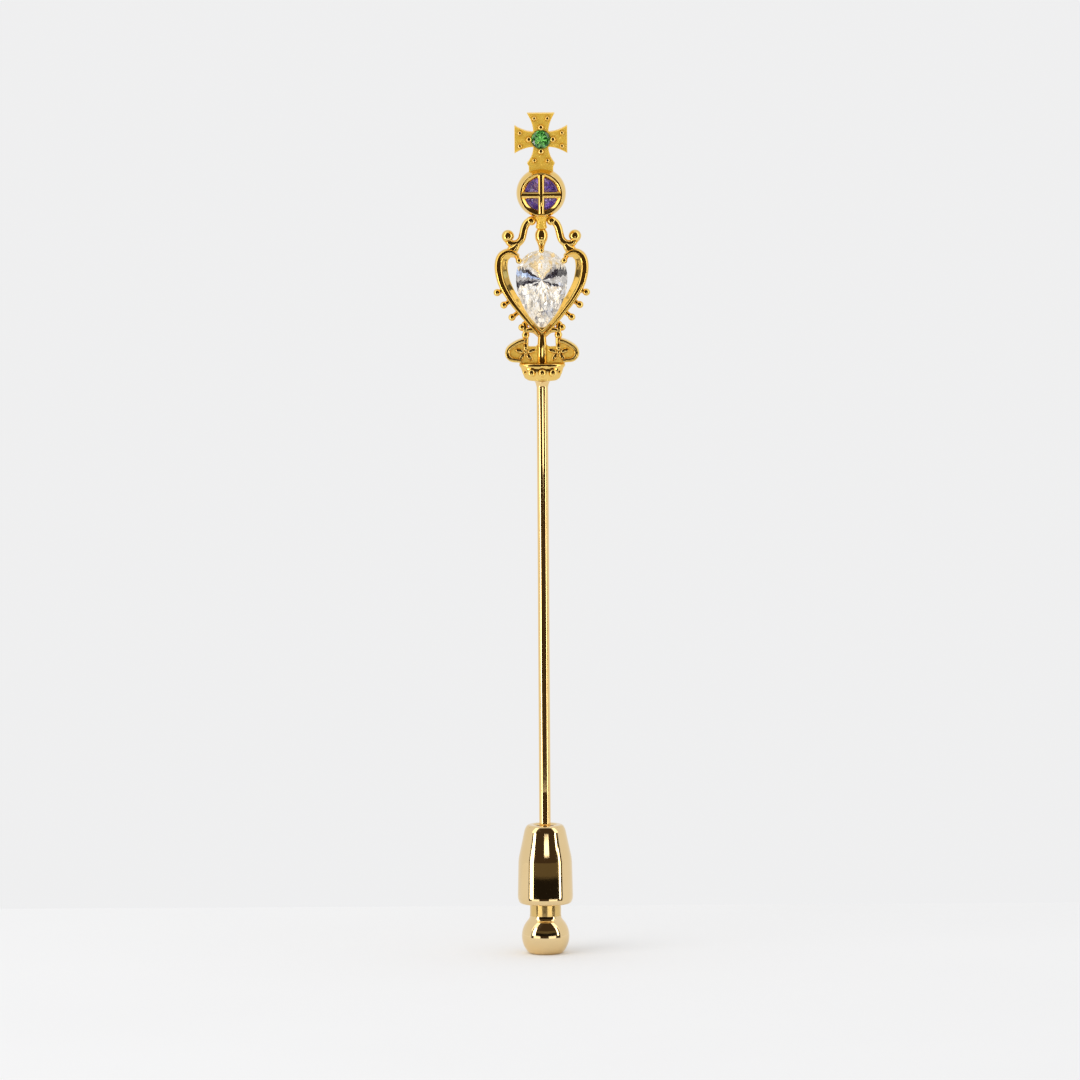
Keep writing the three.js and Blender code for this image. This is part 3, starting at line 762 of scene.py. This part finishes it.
def make_struts():
    path = [
        (-STRUT_X - 0.02, 0, 3.1), (-STRUT_X, -0.05, 3.6), (-STRUT_X, -0.1, 4.2),
        (-STRUT_X - 0.02, -0.02, 4.75), (-STRUT_X - 0.1, 0, 5.2),
    ]
    for side, turn in SIDES:
        shape = rod(path, 0.27, beads=[(2, 0.36)])
        gold_piece(f"{side}_strut", moved(shape, turn), [f"strut_{side}"])


# ---- The frame round the pear stone ----

ARM_DEPTH = 1.3
ARM = [
    (-2.22, 11.5, 0.26), (-2.9, 11.74, 0.46), (-3.52, 11.38, 0.58), (-3.72, 10.61, 0.61),
    (-3.62, 9.67, 0.6), (-3.32, 8.72, 0.57), (-2.6, 7.45, 0.5), (-1.7, 6.25, 0.44),
    (-0.78, 5.08, 0.36), (-0.42, 4.62, 0.3), (-0.2, 4.25, 0.25),
]
SHOULDER = [(-2.25, 12.5, 0.34), (-2.4, 12.28, 0.4), (-2.6, 12.06, 0.48), (-2.75, 11.95, 0.5)]
SHOULDER_DEPTH = 0.9
GRAINS = ((-4.09, 8.12, 20), (-3.48, 6.97, 33), (-2.74, 5.83, 38), (-1.84, 4.9, 40))  # x, z, lean
GRAIN_RADIUS = 0.34
GRAIN_STALK = 0.6

# Across the arm from its outer edge at -1 to its inner edge at 1, and from front at -1 to back at 1
ARM_SECTION = [
    (1.0, 0.25), (0.85, 0.75), (0.4, 0.97), (-0.4, 1.0), (-0.86, 0.78), (-1.0, 0.15), (-0.97, -0.45),
    (-0.85, -0.8), (-0.64, -0.96), (-0.36, -1.0), (-0.08, -0.96), (0.18, -0.76), (0.5, -0.36),
    (0.82, -0.02),
]


def arm_section(angle):
    """A section whose front is a ridge near the outer edge, with a long slope in to the stone."""
    count = len(ARM_SECTION)
    place = (angle / (2 * math.pi) * count) % count
    near = [Vector(ARM_SECTION[(int(place) + k) % count]) for k in (-1, 0, 1, 2)]
    point = smooth_between(*near, place % 1)
    return -point.x, point.y


def make_arms():
    for side, turn in SIDES:
        arm = band(ARM, ARM_DEPTH, arm_section, 120, 0.8)
        piece(f"{side}_frame_arm", [moved(arm, turn)], SHADED_ARM_GOLD, [f"frame_arm_{side}"], sharp=50)
        saddle = band(SHOULDER, SHOULDER_DEPTH, ellipse, 40, 0.8)
        gold_piece(f"{side}_shoulder", moved(saddle, turn), [])
        for i, (x, z, degrees) in enumerate(GRAINS):
            lean = math.radians(degrees)
            foot = (x + GRAIN_STALK * math.cos(lean), 0.1, z + GRAIN_STALK * math.sin(lean))
            neck = ((foot[0] + x) / 2, 0, (foot[2] + z) / 2)
            bead = rod([foot, neck, (x, 0, z)], 0.23, beads=[(2, GRAIN_RADIUS)])
            gold_piece(f"{side}_grain_{i + 1}", moved(bead, turn), [f"grain_{side}_{i + 1}"])


def make_seats_and_claws():
    seat = [(-2.12, 7.62, 0.12), (-1.62, 6.75, 0.2), (-0.9, 5.78, 0.2), (-0.42, 5.2, 0.14)]
    grip = [(-2.42, 0.1, 11.55), (-2.27, -0.25, 11.42), (-2.15, -0.5, 11.22), (-2.08, -0.6, 11.1)]
    behind = Matrix.Translation((-0.1, 0.3, 0))
    for side, turn in SIDES:
        ledge = moved(band(seat, 0.5, ellipse, 50, 0.6), turn @ behind)
        gold_piece(f"{side}_stone_seat", ledge, [f"stone_seat_{side}"])
        claw = rod(grip, 0.21, beads=[(3, 0.28)])
        gold_piece(f"{side}_claw", moved(claw, turn), [f"claw_{side}"])


def blunt_section(angle):
    return oval(angle, 2.6)


def make_tip_claw():
    middle_stop = (0, 4.56, 0.2)
    left = [(-0.74, 5.24, 0.13), (-0.36, 4.84, 0.17)]
    legs = [*left, middle_stop, *[(-x, z, half) for x, z, half in reversed(left)]]
    vee = moved(band(legs, ARM_DEPTH, blunt_section, 60), Matrix.Translation((0, -0.08, 0)))
    gold_piece("chevron_claw", vee, ["tip_claw"], sharp=50)


def make_yoke():
    bridge = spline([(-1.62, 4.35), (-1.1, 4.42), (-0.75, 4.32), (-0.4, 4.0)], 12)
    lower = [*bridge, *[(-x, z) for x, z in reversed(bridge)]]
    shape = slab([*lower, (1.5, 4.85), (0.8, 5.0), (-0.8, 5.0), (-1.5, 4.85)], 0.74, 0.2)
    gold_piece("yoke_bridge", shape, ["yoke"], sharp=50)


# ---- The stones ----

STONE_HEART_Z = 9.2
STONE_GIRDLE = [
    (0, 4.8), (0.5, 5.2), (1.1, 5.89), (1.62, 6.7), (2.02, 7.6), (2.27, 8.5), (2.36, 9.55), (2.22, 10.5),
    (1.8, 11.22), (1.05, 11.84), (0, 12.08),
]
PEAR_RINGS = (0.12, 0.24, 0.36, 0.48, 0.6, 0.72, 0.84)  # shares of the way from the girdle to the culet
ROUND_RINGS = (0.2, 0.45, 0.7)


def girdle_at(turn):
    """A point on the pear's girdle: turn 0 is its top, and half a turn is its tip."""
    share = abs((turn / math.pi + 1) % 2 - 1)
    curve = GIRDLE_CURVE
    place = (1 - share) * (len(curve) - 1)
    at = min(int(place), len(curve) - 2)
    point = curve[at].lerp(curve[at + 1], place - at)
    return Vector((math.copysign(point.x, math.sin(turn)), 0, point.y))


def even_curve(stops, count):
    """The spline through the stops, its points spaced evenly by length."""
    fine = spline(stops, 400)
    lengths = [0.0]
    for a, b in zip(fine, fine[1:]):
        lengths.append(lengths[-1] + (b - a).length)
    points = []
    at = 0
    for k in range(count + 1):
        goal = lengths[-1] * k / count
        while at < len(fine) - 2 and lengths[at + 1] < goal:
            at += 1
        share = (goal - lengths[at]) / (lengths[at + 1] - lengths[at])
        points.append(fine[at].lerp(fine[at + 1], share))
    return points


GIRDLE_CURVE = even_curve(STONE_GIRDLE, 96)


def cut_stone(rows, heart, culet, depths, jitter, tone_at, seed):
    """A cut stone that faces -Y, as its shape and the tone of each face.

    Its crown is the solid round the rows of points. Its lower facets go in rings from the girdle to the
    culet, at these shares of its depth, and each ring lies half a facet round from the ring before.
    """
    draw = random.Random(seed)
    verts, faces = hull(rows)
    girdle = max(v.y for v in verts)
    back = next(f for f in faces if all(girdle - verts[i].y < 1e-5 for i in f))
    faces.remove(back)
    tones = [0] * len(faces)
    ring = list(back)
    if (verts[ring[1]] - heart).cross(verts[ring[0]] - heart).y > 0:
        ring.reverse()
    rim = [verts[i].copy() for i in ring]
    count = len(ring)
    shift = 0.0
    for share in depths:
        shift += 0.5
        new = []
        for k in range(count):
            at = k + shift
            low, part = int(at) % count, at % 1
            edge = rim[low].lerp(rim[(low + 1) % count], part)
            point = heart.lerp(edge, 1 - share)
            point.y = girdle + (culet - girdle) * share + jitter(point) * draw.uniform(-1, 1)
            verts.append(point)
            new.append(len(verts) - 1)
        for k in range(count):
            n = (k + 1) % count
            for face in ((ring[k], ring[n], new[k]), (ring[n], new[n], new[k])):
                faces.append(face)
                centre = sum((verts[i] for i in face), Vector()) / 3
                tones.append(tone_at(centre, draw))
        ring = new
    verts.append(Vector((heart.x, culet, heart.z)))
    for k in range(count):
        faces.append((ring[k], ring[(k + 1) % count], len(verts) - 1))
        tones.append(tone_at(verts[ring[k]], draw))
    return (verts, faces), tones


def stone_piece(name, shape, tones, materials, node, place):
    stone = piece(name, [shape], materials, [node], place=place)
    stone.data.shade_flat()
    for polygon, tone in zip(stone.data.polygons, tones):
        polygon.material_index = tone


# The pear's tones are painted reflections: 1 white, 2 cream, 3 straw, 4 grey, 5 dark and 6 blue. A fan
# starts at the top.
FAN_STEP = 13
FAN_TOP = 1.15
FAN_FOOT = 0.45
LEFT_FAN = (2, 3, 2, 1, 5, 6, 4, 5, 1, 5, 4, 1, 2, 2)
RIGHT_FAN = (2, 2, 3, 4, 5, 5, 1, 1, 5, 4, 1, 2, 1, 2)


def pear_tone(point, draw):
    """Painted reflections: cream and straw at the top, a fan of dark, white and blue across the middle, and
    fine white below.
    """
    if point.z > STONE_HEART_Z + FAN_TOP:
        return draw.choice((1, 2, 2, 3, 1))
    if point.z > STONE_HEART_Z - FAN_FOOT:
        turn = math.degrees(math.atan2(point.x, point.z - STONE_HEART_Z))
        return (LEFT_FAN if turn < 0 else RIGHT_FAN)[int(abs(turn) // FAN_STEP)]
    return draw.choice((1, 1, 2, 2, 1, 2, 4))


def pear_jitter(point):
    """How far facets tilt: most below the middle, where the stone is cut finest."""
    return 0.07 if point.z < STONE_HEART_Z - 0.35 else 0.015


def make_pear_stone():
    """A pear brilliant: table, star and kite rows above the girdle, and rings of facets below."""
    heart = Vector((0, 0, STONE_HEART_Z))
    rows = [(8, 0.5, 0.58, -1.06), (8, 0, 0.8, -0.82), (32, 0, 1.0, -0.4), (32, 0, 1.0, -0.3)]
    points = []
    for count, offset, scale, y in rows:
        for k in range(count):
            point = heart.lerp(girdle_at(2 * math.pi * (k + offset) / count), scale)
            points.append(Vector((point.x, y, point.z)))
    shape, tones = cut_stone(points, heart, 1.34, PEAR_RINGS, pear_jitter, pear_tone, 5)
    stone_piece("pear_diamond", shape, tones, DIAMOND, "pear_stone", HEAD)


def round_stone(name, rows, culet, jitter, materials, node, seed):
    """A round brilliant facing -Y, its crown rows [count, offset, radius, y]."""
    points = []
    for count, offset, radius, y in rows:
        for k in range(count):
            turn = 2 * math.pi * (k + offset) / count
            points.append(Vector((radius * math.cos(turn), y, radius * math.sin(turn))))
    # Painted highlight: the facets near the middle take the lighter tones.
    bright_reach = rows[-1][2] * 0.5

    def tone_at(point, draw):
        bright = math.hypot(point.x, point.z) < bright_reach
        return draw.choice((1, 1, 2, 3) if bright else (3, 2, 3, 1, 2))

    shape, tones = cut_stone(points, Vector(), culet, ROUND_RINGS, lambda point: jitter, tone_at, seed)
    place = Matrix.Translation((0, 0, middle(node).z))
    stone_piece(name, shape, tones, materials, node, place)


def make_round_stones():
    violet = [(8, 0.5, 0.8, -1.1), (8, 0, 1.15, -0.95), (16, 0, 1.66, -0.62), (16, 0, 1.66, -0.54)]
    round_stone("violet_brilliant", violet, 0.54, 0.07, VIOLET_STONE, "amethyst", 2)
    green = [(8, 0.5, 0.47, -0.86), (8, 0, 0.64, -0.8), (16, 0, 0.85, -0.64), (16, 0, 0.85, -0.59)]
    round_stone("green_brilliant", green, 0.09, 0.03, GREEN_STONE, "green_stone", 4)


# ---- The scrolls, the bud and the orb ----

SCROLL = [
    (-0.92, 0, 14.72), (-1.12, 0, 14.66), (-1.36, 0, 14.46), (-1.56, 0, 14.06), (-1.68, 0, 13.56),
    (-1.84, 0, 13.02), (-2.2, 0, 12.66), (-2.68, 0, 12.6), (-2.98, 0, 12.85), (-3.07, 0, 13.32),
]
BUD_TOP = 14.0
ORB_RADIUS = 2.28
RIM_RADIUS = 1.99
WINDOW_RADIUS = 1.5
CAVITY_RADIUS = 1.72
LIP_FRONT = 1.42
BAR_HALF_LENGTH = 1.82
BAR_HALF_WIDTH = 0.31
BAR_HALF_DEPTH = 0.27
BAR_BEND_RADIUS = 7.95
BAR_BEND_CENTRE = 6.4  # how far behind the orb's middle the bars' arcs have theirs
BAR_DROP = 0.08


def make_scrolls():
    for side, turn in SIDES:
        shape = rod(SCROLL, 0.36, beads=[(0, 0.44), (9, 0.58)])
        gold_piece(f"{side}_scroll", moved(shape, turn), [f"scroll_{side}"])


def make_bud():
    """A bud whose tip bends forward over the stone's top. Each stop is [x, y, z, radius]."""
    stops = [
        (0, 0, BUD_TOP + 0.06, 0.3), (0, 0, 13.82, 0.48), (0, 0, 13.5, 0.59), (0, 0, 13.05, 0.57),
        (0, -0.04, 12.68, 0.4), (0, -0.16, 12.42, 0.3), (0, -0.42, 12.2, 0.26), (0, -0.66, 12.04, 0.24),
    ]
    points = spline(stops, 84)
    centres = [Vector(p[:3]) for p in points]
    shape = sweep(*round_ends(centres, [(p[3], p[3]) for p in points]), ellipse)
    gold_piece("bud_drop", shape, ["bud"])


def make_orb_foot():
    foot = BUD_TOP - 0.02
    collar = rounded([
        (0, foot, 0), (0.42, foot, 0.08), (0.56, 14.1, 0.1), (0.44, 14.4, 0.15), (0.5, 14.85, 0.2),
        (0.98, 15.35, 0.1), (0, 15.6, 0),
    ])
    stem = piece("orb_collar", [revolve(collar)], GRAINED_GOLD, ["orb_foot"])
    roughen(stem, 0.03, 0.012, 0.2)


def orb_lift():
    return Matrix.Translation((0, 0, middle("orb_shell").z - HEAD_Z))


def make_orb_ball():
    """A hollow ball, cut off in front where a lip goes round the windows, and its back ring."""
    place = orb_lift() @ FACING
    cut = math.sqrt(ORB_RADIUS**2 - RIM_RADIUS**2)
    reach = math.asin(cut / ORB_RADIUS)
    steps = 32
    outside = []
    for k in range(steps + 1):
        turn = -reach + 2 * reach * k / steps
        outside.append((ORB_RADIUS * math.cos(turn), ORB_RADIUS * math.sin(turn), 0))
    lip = [
        (WINDOW_RADIUS, -0.78, 0), (WINDOW_RADIUS, -1.2, 0.05), (1.82, -LIP_FRONT, 0.08),
        (1.96, -LIP_FRONT, 0.07), (RIM_RADIUS, -1.2, 0.04),
    ]
    inside = [(CAVITY_RADIUS, cut - 0.05, 0.05), (CAVITY_RADIUS, -0.75, 0)]
    shell = revolve(rounded([*lip, *outside, *inside]), 128, ring=True)
    gold_piece("orb_ball", moved(shell, place), ["orb_shell"])
    back = rounded([(0.8, 0.76, 0.06), (1.69, 0.76, 0.05), (1.69, 1.16, 0.08), (0.8, 1.16, 0.1)])
    gold_piece("orb_back_ring", moved(revolve(back, ring=True), place), ["orb_back"])


def make_orb_bars():
    """An upright bar and a level one, both arched towards the front."""
    steps = 40
    bars = []
    for upright in (True, False):
        centres = []
        for k in range(steps + 1):
            along = BAR_HALF_LENGTH * (2 * k / steps - 1)
            y = BAR_BEND_CENTRE - math.sqrt(BAR_BEND_RADIUS**2 - along**2)
            place = (0, y, along) if upright else (along, y + 0.02, -BAR_DROP)
            centres.append(Vector(place))
        bars.append(arched_bar(centres, Vector((1, 0, 0)) if upright else Vector((0, 0, 1))))
    piece("orb_cross_bars", [moved(b, orb_lift()) for b in bars], GOLD, ["orb_bars"])


def arched_bar(centres, side):
    """A bar with a crowned face that follows a curve in depth. Side is the direction of its width."""
    verts = []
    sides = 28
    last = len(centres) - 1
    for i, centre in enumerate(centres):
        along = (centres[min(i + 1, last)] - centres[max(i - 1, 0)]).normalized()
        out = along.cross(side).normalized()
        shrink = NEAR_ZERO if i in (0, last) else 1
        for k in range(sides):
            u, v = oval(2 * math.pi * k / sides, 1.7)
            wide = side * (u * BAR_HALF_WIDTH * shrink)
            verts.append(centre + wide + out * (v * BAR_HALF_DEPTH * shrink))
    return verts, skin(len(centres), sides)


# ---- The cross ----

CROSS_ARM = 2.42
CROSS_HALF_END = 1.28
CROSS_HALF_WAIST = 0.7
CROSS_DEPTH = 1.0
CROSS_RIM_RADIUS = 0.065
LOWER_ARM = 2.2
FOOT_HALF = 1.12
FOOT_TOP = 2.5
FOOT_END = 3.05
ARM_GRAINS = ((0.29, 1.1, 0), (0.22, 1.93, -0.6), (0.22, 1.93, 0.6))  # radius, along and across an arm


def quarter_point(quarter, along, across):
    """The [x, z] of a point along and across one of the four arms, of which 0 points up."""
    turn = quarter * math.pi / 2
    sine, cosine = math.sin(turn), math.cos(turn)
    return along * sine + across * cosine, along * cosine - across * sine


def curve_to(start, control, end):
    """The points after the start on a curve that the control point draws to itself."""
    a, b, c = Vector(start), Vector(control), Vector(end)
    steps = 10
    points = []
    for k in range(1, steps + 1):
        t = k / steps
        points.append(a * (1 - t) ** 2 + b * 2 * t * (1 - t) + c * t**2)
    return points


def cross_outline():
    waist, end_half = CROSS_HALF_WAIST, CROSS_HALF_END
    points = []
    for quarter in range(4):
        def at(along, across, q=quarter):
            return quarter_point(q, along, across)
        lower = quarter == 2
        end = LOWER_ARM if lower else CROSS_ARM
        points.append(at(waist, -waist))
        points += curve_to(at(waist, -waist), at(1.5, -waist), at(end, -end_half))
        if lower:
            points += [at(FOOT_TOP, -FOOT_HALF), at(FOOT_END, -FOOT_HALF)]
            points += [at(FOOT_END, FOOT_HALF), at(FOOT_TOP, FOOT_HALF)]
        points.append(at(end, end_half))
        points += curve_to(at(end, end_half), at(1.5, waist), at(waist, waist))[:-1]
    return points


def inset(outline, distance):
    """The outline drawn in by a distance, each corner along the line that halves it."""
    sharpest = 0.35  # keeps a narrow corner from going in too far
    points = [Vector(p) for p in outline]
    result = []
    for i, here in enumerate(points):
        before = (here - points[i - 1]).normalized()
        after = (points[(i + 1) % len(points)] - here).normalized()
        across = Vector((before.y, -before.x))
        inward = (across + Vector((after.y, -after.x))).normalized()
        result.append(here + inward * (distance / max(inward.dot(across), sharpest)))
    return result


def cross_lift():
    return Matrix.Translation((0, 0, middle("green_stone").z - HEAD_Z))


def make_cross():
    """A grained plate with a pocket for the green stone."""
    shape = moved(slab(cross_outline(), CROSS_DEPTH, 0.14), cross_lift())
    plate = piece("cross_plate", [shape], GRAINED_GOLD, ["cross"])
    pocket = revolve([(0, -0.8), (0.92, -0.8), (0.92, -0.5), (0.15, 0.2), (0, 0.2)], 64)
    drill(plate, moved(pocket, HEAD @ cross_lift() @ FACING))
    roughen(plate, 0.03, 0.012, 0.22)


def make_cross_trim():
    """The raised line inside the plate's edge, and three beads on each arm."""
    front = -CROSS_DEPTH / 2
    rim = edging(inset(cross_outline(), 0.07), CROSS_RIM_RADIUS, front + 0.035)
    piece("cross_rim", [moved(rim, cross_lift())], SATIN_GOLD, [])
    beads = []
    for quarter in range(4):
        for radius, along, across in ARM_GRAINS:
            x, z = quarter_point(quarter, along, across)
            stand = Matrix.Translation((x, front - 0.1, z)) @ TO_FRONT
            beads.append(moved(dome(radius), cross_lift() @ stand))
    piece("cross_grains", beads, GOLD, [])


# ---- The clutch ----

HOUSING_FOOT = 4.65
HOUSING_TOP = 11.95
HOUSING_BORE = 0.98
RING_FOOT = HOUSING_FOOT + 0.02
RING_TOP = 5.2
RING_BORE = 1.53
RING_RADIUS = 2.09
NECK_RADIUS = 1.43
NECK_FOOT = 3.1
TENON_RADIUS = 1.0
TENON_FOOT = 1.15
KNOB_RADIUS = 2.2
KNOB_CENTRE = 1.6
FLANGE_Z = 7.9
SPRING_WIRE = 0.13
SPRING_RADIUS = 1.72
SPRING_TURNS = 4.5
SPRING_GAP = 0.03
BALL_Z = 9.7
BALL_RADIUS = 0.5
BALL_COUNT = 3


def make_housing():
    outside = [
        (2.12, HOUSING_FOOT, 0.05), (2.34, HOUSING_FOOT, 0.16), (2.53, 4.98, 0.24), (2.55, 5.4, 0.16),
        (2.47, 8.75, 0.4), (1.86, 11.6, 0.28), (1.6, HOUSING_TOP, 0.18), (1.12, HOUSING_TOP, 0.05),
    ]
    inside = [(HOUSING_BORE, 11.8, 0.05), (HOUSING_BORE, 11.2, 0.05), (1.22, 11.2, 0.05), (2.12, 7.6, 0.2)]
    shell = revolve(rounded(outside + inside), 128, ring=True)
    piece("housing_shell", [shell], PALE_GOLD, ["clutch_housing"], "clutch_case", CLUTCH)
    ring = revolve(rounded([
        (RING_BORE, RING_FOOT, 0.05), (RING_RADIUS, RING_FOOT, 0.05), (RING_RADIUS, RING_TOP, 0.05),
        (RING_BORE, RING_TOP, 0.05),
    ]), ring=True)
    piece("housing_ring", [ring], PALE_GOLD, ["closing_ring"], "clutch_case", CLUTCH)


def make_plunger():
    """A tube with a flange for the spring, a cone above it and a tenon in the knob below."""
    profile = rounded([
        (0, TENON_FOOT, 0), (TENON_RADIUS, TENON_FOOT, 0.1), (TENON_RADIUS, NECK_FOOT, 0.04),
        (NECK_RADIUS, NECK_FOOT, 0.04), (NECK_RADIUS, FLANGE_Z, 0.06), (1.95, FLANGE_Z, 0.06),
        (1.95, 8.12, 0.06), (1.78, 8.3, 0.06), (1.16, 10.88, 0.1), (0.64, 10.88, 0.06), (0.62, 2.2, 0.05),
        (0, 2.0, 0),
    ])
    shape = revolve(profile)
    plunger = piece("plunger_tube", [shape], TURNED_GOLD, ["plunger"], "release_knob", CLUTCH)
    for i in range(BALL_COUNT):
        bore_ball_hole(plunger, 2 * math.pi * i / BALL_COUNT - math.pi / 2)


def bore_ball_hole(plunger, turn):
    radius = BALL_RADIUS + 0.03
    hole = revolve([(0, 0.3), (radius, 0.3), (radius, 2.4), (0, 2.4)], 32)
    out = Vector((math.cos(turn), math.sin(turn), 0)).to_track_quat("Z", "Y").to_matrix().to_4x4()
    drill(plunger, moved(hole, CLUTCH @ Matrix.Translation((0, 0, BALL_Z)) @ out))


def make_knob():
    """A ball with a flat foot and a short sleeve round the neck, bored for the plunger's tenon."""
    steps = 40
    first = -math.asin(KNOB_CENTRE / KNOB_RADIUS)
    last = math.acos((NECK_RADIUS + 0.16) / KNOB_RADIUS)
    ball = []
    for k in range(1, steps + 1):
        turn = first + (last - first) * k / steps
        ball.append((KNOB_RADIUS * math.cos(turn), KNOB_CENTRE + KNOB_RADIUS * math.sin(turn), 0))
    flat = KNOB_RADIUS * math.cos(first)
    top = ball[-1][1]
    sleeve_bore = NECK_RADIUS + 0.005
    socket_radius = TENON_RADIUS + 0.01
    socket_foot = TENON_FOOT - 0.02
    seat = NECK_FOOT - 0.02
    profile = rounded([
        (0, 0, 0), (flat, 0, 0.14), *ball, (NECK_RADIUS + 0.05, top + 0.16, 0.06),
        (NECK_RADIUS + 0.02, top + 0.4, 0), (sleeve_bore, top + 0.4, 0), (sleeve_bore, seat, 0),
        (socket_radius, seat, 0), (socket_radius, socket_foot, 0), (0, socket_foot, 0),
    ])
    piece("knob_ball", [revolve(profile, 128)], PALE_GOLD, ["knob"], "release_knob", CLUTCH)


def make_spring():
    """A coil between the closing ring and the plunger's flange, built at one length; on the real pin the
    knob's pull shortens it.
    """
    foot = RING_TOP + SPRING_WIRE + SPRING_GAP
    rise = FLANGE_Z - SPRING_WIRE - SPRING_GAP - foot
    per_turn = 40
    sides = 14
    count = int(SPRING_TURNS * per_turn)
    verts = []
    for i in range(count + 1):
        turn = 2 * math.pi * i / per_turn
        out = Vector((math.cos(turn), math.sin(turn), 0))
        centre = out * SPRING_RADIUS + Vector((0, 0, foot + rise * i / count))
        size = SPRING_WIRE * (0.001 if i in (0, count) else 1)
        for k in range(sides):
            round_wire = 2 * math.pi * k / sides
            up = Vector((0, 0, size * math.sin(round_wire)))
            verts.append(centre + out * (size * math.cos(round_wire)) + up)
    shape = (verts, skin(count + 1, sides))
    coil = piece("coil_spring", [shape], STEEL, ["spring"], "clutch_spring", CLUTCH)
    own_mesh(coil)


def make_lock_balls():
    steps = 24
    profile = []
    for k in range(steps + 1):
        turn = math.pi * k / steps
        profile.append((BALL_RADIUS * math.sin(turn), -BALL_RADIUS * math.cos(turn)))
    for i in range(BALL_COUNT):
        node = f"lock_ball_{i + 1}"
        place = Matrix.Translation(middle(node))
        piece(f"ball_{i + 1}", [revolve(profile, 48)], STEEL, [node], node, place)


# ---- Everything in order ----

bpy.context.scene.view_settings.view_transform = "Standard"
add_camera()
add_world((0.94, 0.94, 0.945), 0.92)
add_floor()
add_light("top_left", Vector((-0.35, -0.25, 0.45)), 0.35, 0.7)
add_card("dark_low", LOW_SPAN, (2.75, 6.2), LOW_CARDS, BLACK_ROOM, 1.0)
add_card("brown_low", LOW_SPAN, (6.2, 9.3), LOW_CARDS, BROWN_ROOM, 1.0)
add_card("dark_near", LOW_SPAN, (0.2, 2.75), LOW_CARDS, DARK_ROOM, 1.0)
add_card("dark_middle", (-72, 74), (0.3, 40), FAR_CARDS, DARK_ROOM, 1.0)
add_card("dark_high", (-54, 56), (40, 330), FAR_CARDS, DARK_ROOM, 1.0)
add_card("dark_step", LOW_SPAN, (9.3, 12.8), LOW_CARDS, DARK_ROOM, 1.0)
add_card("low_left_strip", (-63, -48), (2.75, 12.8), LOW_STRIPS, WARM_WHITE, 5, True)
add_card("low_right_strip", (56, 63), (2.75, 12.8), LOW_STRIPS, WARM_WHITE, 5, True)
add_card("left_strip", (-64, -52), (0.3, 40), FAR_STRIPS, WARM_WHITE, 7, True)
add_card("right_strip", (54, 61), (0.3, 40), FAR_STRIPS, WARM_WHITE, 6, True)
add_card("high_left_strip", (-78, -54), (40, 330), FAR_CARDS, WARM_WHITE, 1.9)
add_card("high_right_strip", (56, 78), (40, 330), FAR_CARDS, WARM_WHITE, 1.9)
add_card("middle_strip", (-4, 18), (33, 42), FAR_STRIPS, WARM_WHITE, 2.6, True)
for azimuth in ((-56, -24), (14, 48)):
    add_card("near_strip", azimuth, (0.2, 2.75), LOW_STRIPS, WARM_WHITE, 1.5)

make_pin()
make_collar()
make_bowl()
make_bosses()
make_post()
make_lobes()
make_struts()
make_arms()
make_seats_and_claws()
make_tip_claw()
make_yoke()
make_pear_stone()
make_round_stones()
make_scrolls()
make_bud()
make_orb_foot()
make_orb_ball()
make_orb_bars()
make_cross()
make_cross_trim()
make_housing()
make_plunger()
make_knob()
make_spring()
make_lock_balls()
